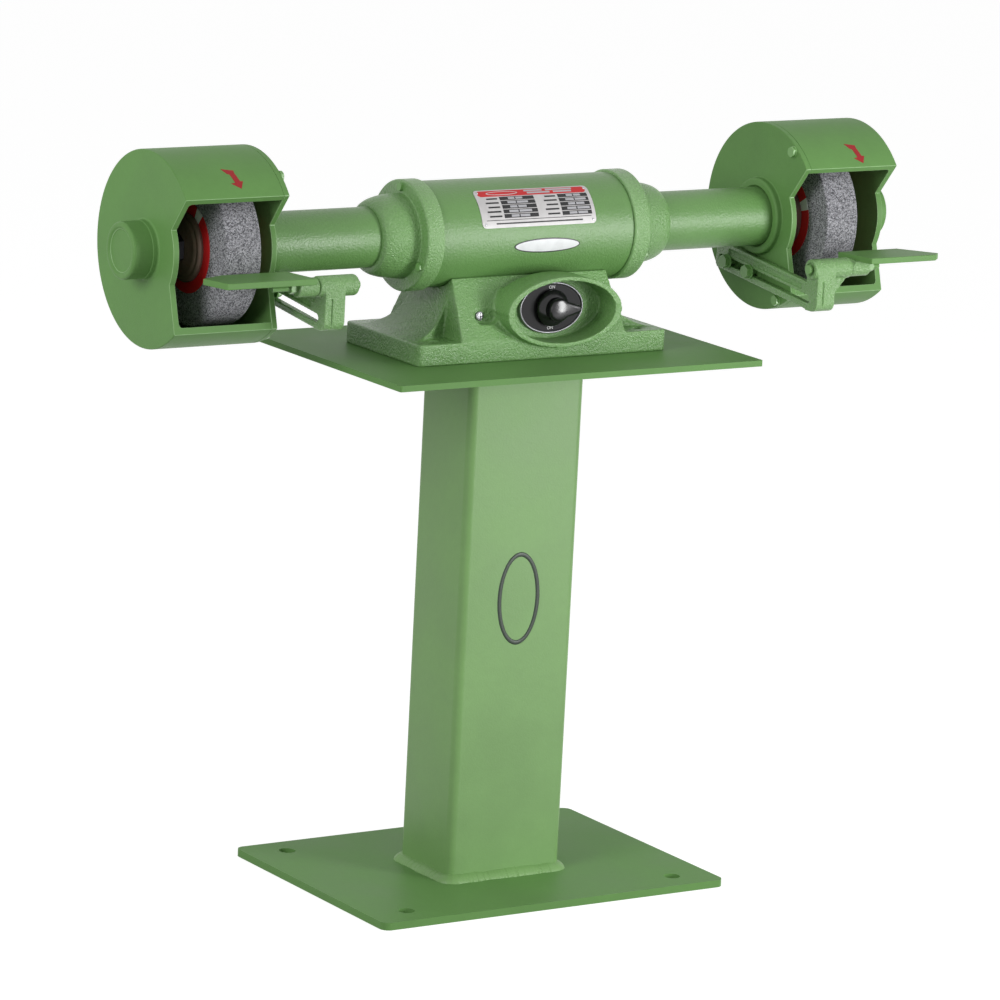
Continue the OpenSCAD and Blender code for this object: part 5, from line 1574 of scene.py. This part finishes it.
def backdrop_finish(name, shade, glow):
    """Pale floor that shows white to the eye and in reflections, and keeps a soft shadow."""
    made = bpy.data.materials.new(name)
    made.use_nodes = True
    tree = made.node_tree
    tree.nodes.clear()
    matt = add(tree, "ShaderNodeBsdfDiffuse", {"Color": (shade, shade, shade, 1)}).outputs[0]
    strength = sums(tree, "MULTIPLY", seen_directly(tree), glow)
    white = add(tree, "ShaderNodeEmission", {"Strength": strength}).outputs[0]
    both = add(tree, "ShaderNodeAddShader", {0: matt, 1: white})
    output = add(tree, "ShaderNodeOutputMaterial")
    tree.links.new(both.outputs[0], output.inputs[0])
    return made


class GRINDER_OT_stage(bpy.types.Operator):
    """Pale floor, soft studio light and the camera"""

    bl_idname = "grinder.stage"
    bl_label = "Stage"

    def execute(self, context):
        size = context.scene.grinder_stage
        context.scene.view_settings.view_transform = "Standard"
        self.camera(context, size)
        self.floor()
        self.world(context, size)
        self.lamp("front_light", azimuth=33, height=0.85, distance=3.0, faces=(0.8, 1.4), power=size.key)
        self.lamp("left_light", azimuth=-75, height=1.9, distance=3.6, faces=(1.6, 1.6), power=size.side)
        return {"FINISHED"}

    def camera(self, context, size):
        """Camera at the photograph's viewing angle."""
        data = bpy.data.cameras.new("camera")
        data.lens = size.lens
        data.sensor_width = 36
        data.clip_end = 100
        camera = bpy.data.objects.new("camera", data)
        yaw, pitch, roll = (math.radians(a) for a in CAMERA_TURN)
        forward = Vector((math.sin(yaw) * math.cos(pitch), math.cos(yaw) * math.cos(pitch), math.sin(pitch)))
        level = Vector((math.cos(yaw), -math.sin(yaw), 0))
        upright = level.cross(forward)
        right = level * math.cos(roll) + upright * math.sin(roll)
        up = upright * math.cos(roll) - level * math.sin(roll)
        matrix = Matrix((right, up, -forward)).transposed().to_4x4()
        matrix.translation = Vector(CAMERA_AT) * MM
        camera.matrix_world = matrix
        context.scene.collection.objects.link(camera)
        context.scene.camera = camera

    def floor(self):
        """Wide pale floor under the machine."""
        reach = 30.0
        mesh = bpy.data.meshes.new("floor")
        points = [(-reach, -reach, 0), (reach, -reach, 0), (reach, reach, 0), (-reach, reach, 0)]
        mesh.from_pydata(points, [], [(0, 1, 2, 3)])
        floor = bpy.data.objects.new("floor", mesh)
        mesh.materials.append(backdrop_finish("floor_white", 0.4, 0.8))
        bpy.context.scene.collection.objects.link(floor)

    def world(self, context, size):
        """Even light from all round, seen as white."""
        world = bpy.data.worlds.new("studio")
        world.use_nodes = True
        tree = world.node_tree
        back = tree.nodes["Background"]
        strength = spread(tree, seen_directly(tree), 0, 1, size.fill, 1.0)
        back.inputs["Color"].default_value = (1, 1, 1, 1)
        tree.links.new(strength, back.inputs["Strength"])
        context.scene.world = world

    def lamp(self, name, azimuth, height, distance, faces, power):
        """Soft light of a width and a height, aimed at the motor."""
        data = bpy.data.lights.new(name, "AREA")
        data.shape = "RECTANGLE"
        data.size, data.size_y = faces
        data.energy = power
        lamp = bpy.data.objects.new(name, data)
        a = math.radians(azimuth)
        lamp.location = (distance * math.sin(a), -distance * math.cos(a), height)
        away = lamp.location - Vector((0, 0, SHAFT_Z * MM))
        lamp.rotation_euler = away.to_track_quat("Z", "Y").to_euler()
        bpy.context.scene.collection.objects.link(lamp)


class GRINDER_PT_panel(bpy.types.Panel):
    """Lists the steps that build the machine, and their settings"""

    bl_label = "Pedestal grinder"
    bl_idname = "GRINDER_PT_panel"
    bl_space_type = "VIEW_3D"
    bl_region_type = "UI"
    bl_category = "Grinder"

    def draw(self, context):
        for step in STEPS:
            self.layout.operator(step.bl_idname)
        for name, group in GROUPS.items():
            box = self.layout.box()
            box.label(text=group.__doc__)
            for key in group.__annotations__:
                box.prop(getattr(context.scene, name), key)


STEPS = (
    GRINDER_OT_stage, GRINDER_OT_plates, GRINDER_OT_column, GRINDER_OT_foot, GRINDER_OT_barrel,
    GRINDER_OT_bells, GRINDER_OT_pipes, GRINDER_OT_guards, GRINDER_OT_arrows, GRINDER_OT_wheels,
    GRINDER_OT_rests, GRINDER_OT_badges, GRINDER_OT_switch,
)
CLASSES = (*GROUPS.values(), *STEPS, GRINDER_PT_panel)


def register():
    """Adds the settings, the operators and the panel."""
    for item in CLASSES:
        bpy.utils.register_class(item)
    for name, group in GROUPS.items():
        setattr(bpy.types.Scene, name, PointerProperty(type=group))


def unregister():
    """Takes them away again."""
    for name in GROUPS:
        delattr(bpy.types.Scene, name)
    for item in reversed(CLASSES):
        bpy.utils.unregister_class(item)


def main():
    """Builds the whole machine."""
    register()
    for step in STEPS:
        group, name = step.bl_idname.split(".")
        getattr(getattr(bpy.ops, group), name)()


if __name__ == "__main__":
    main()
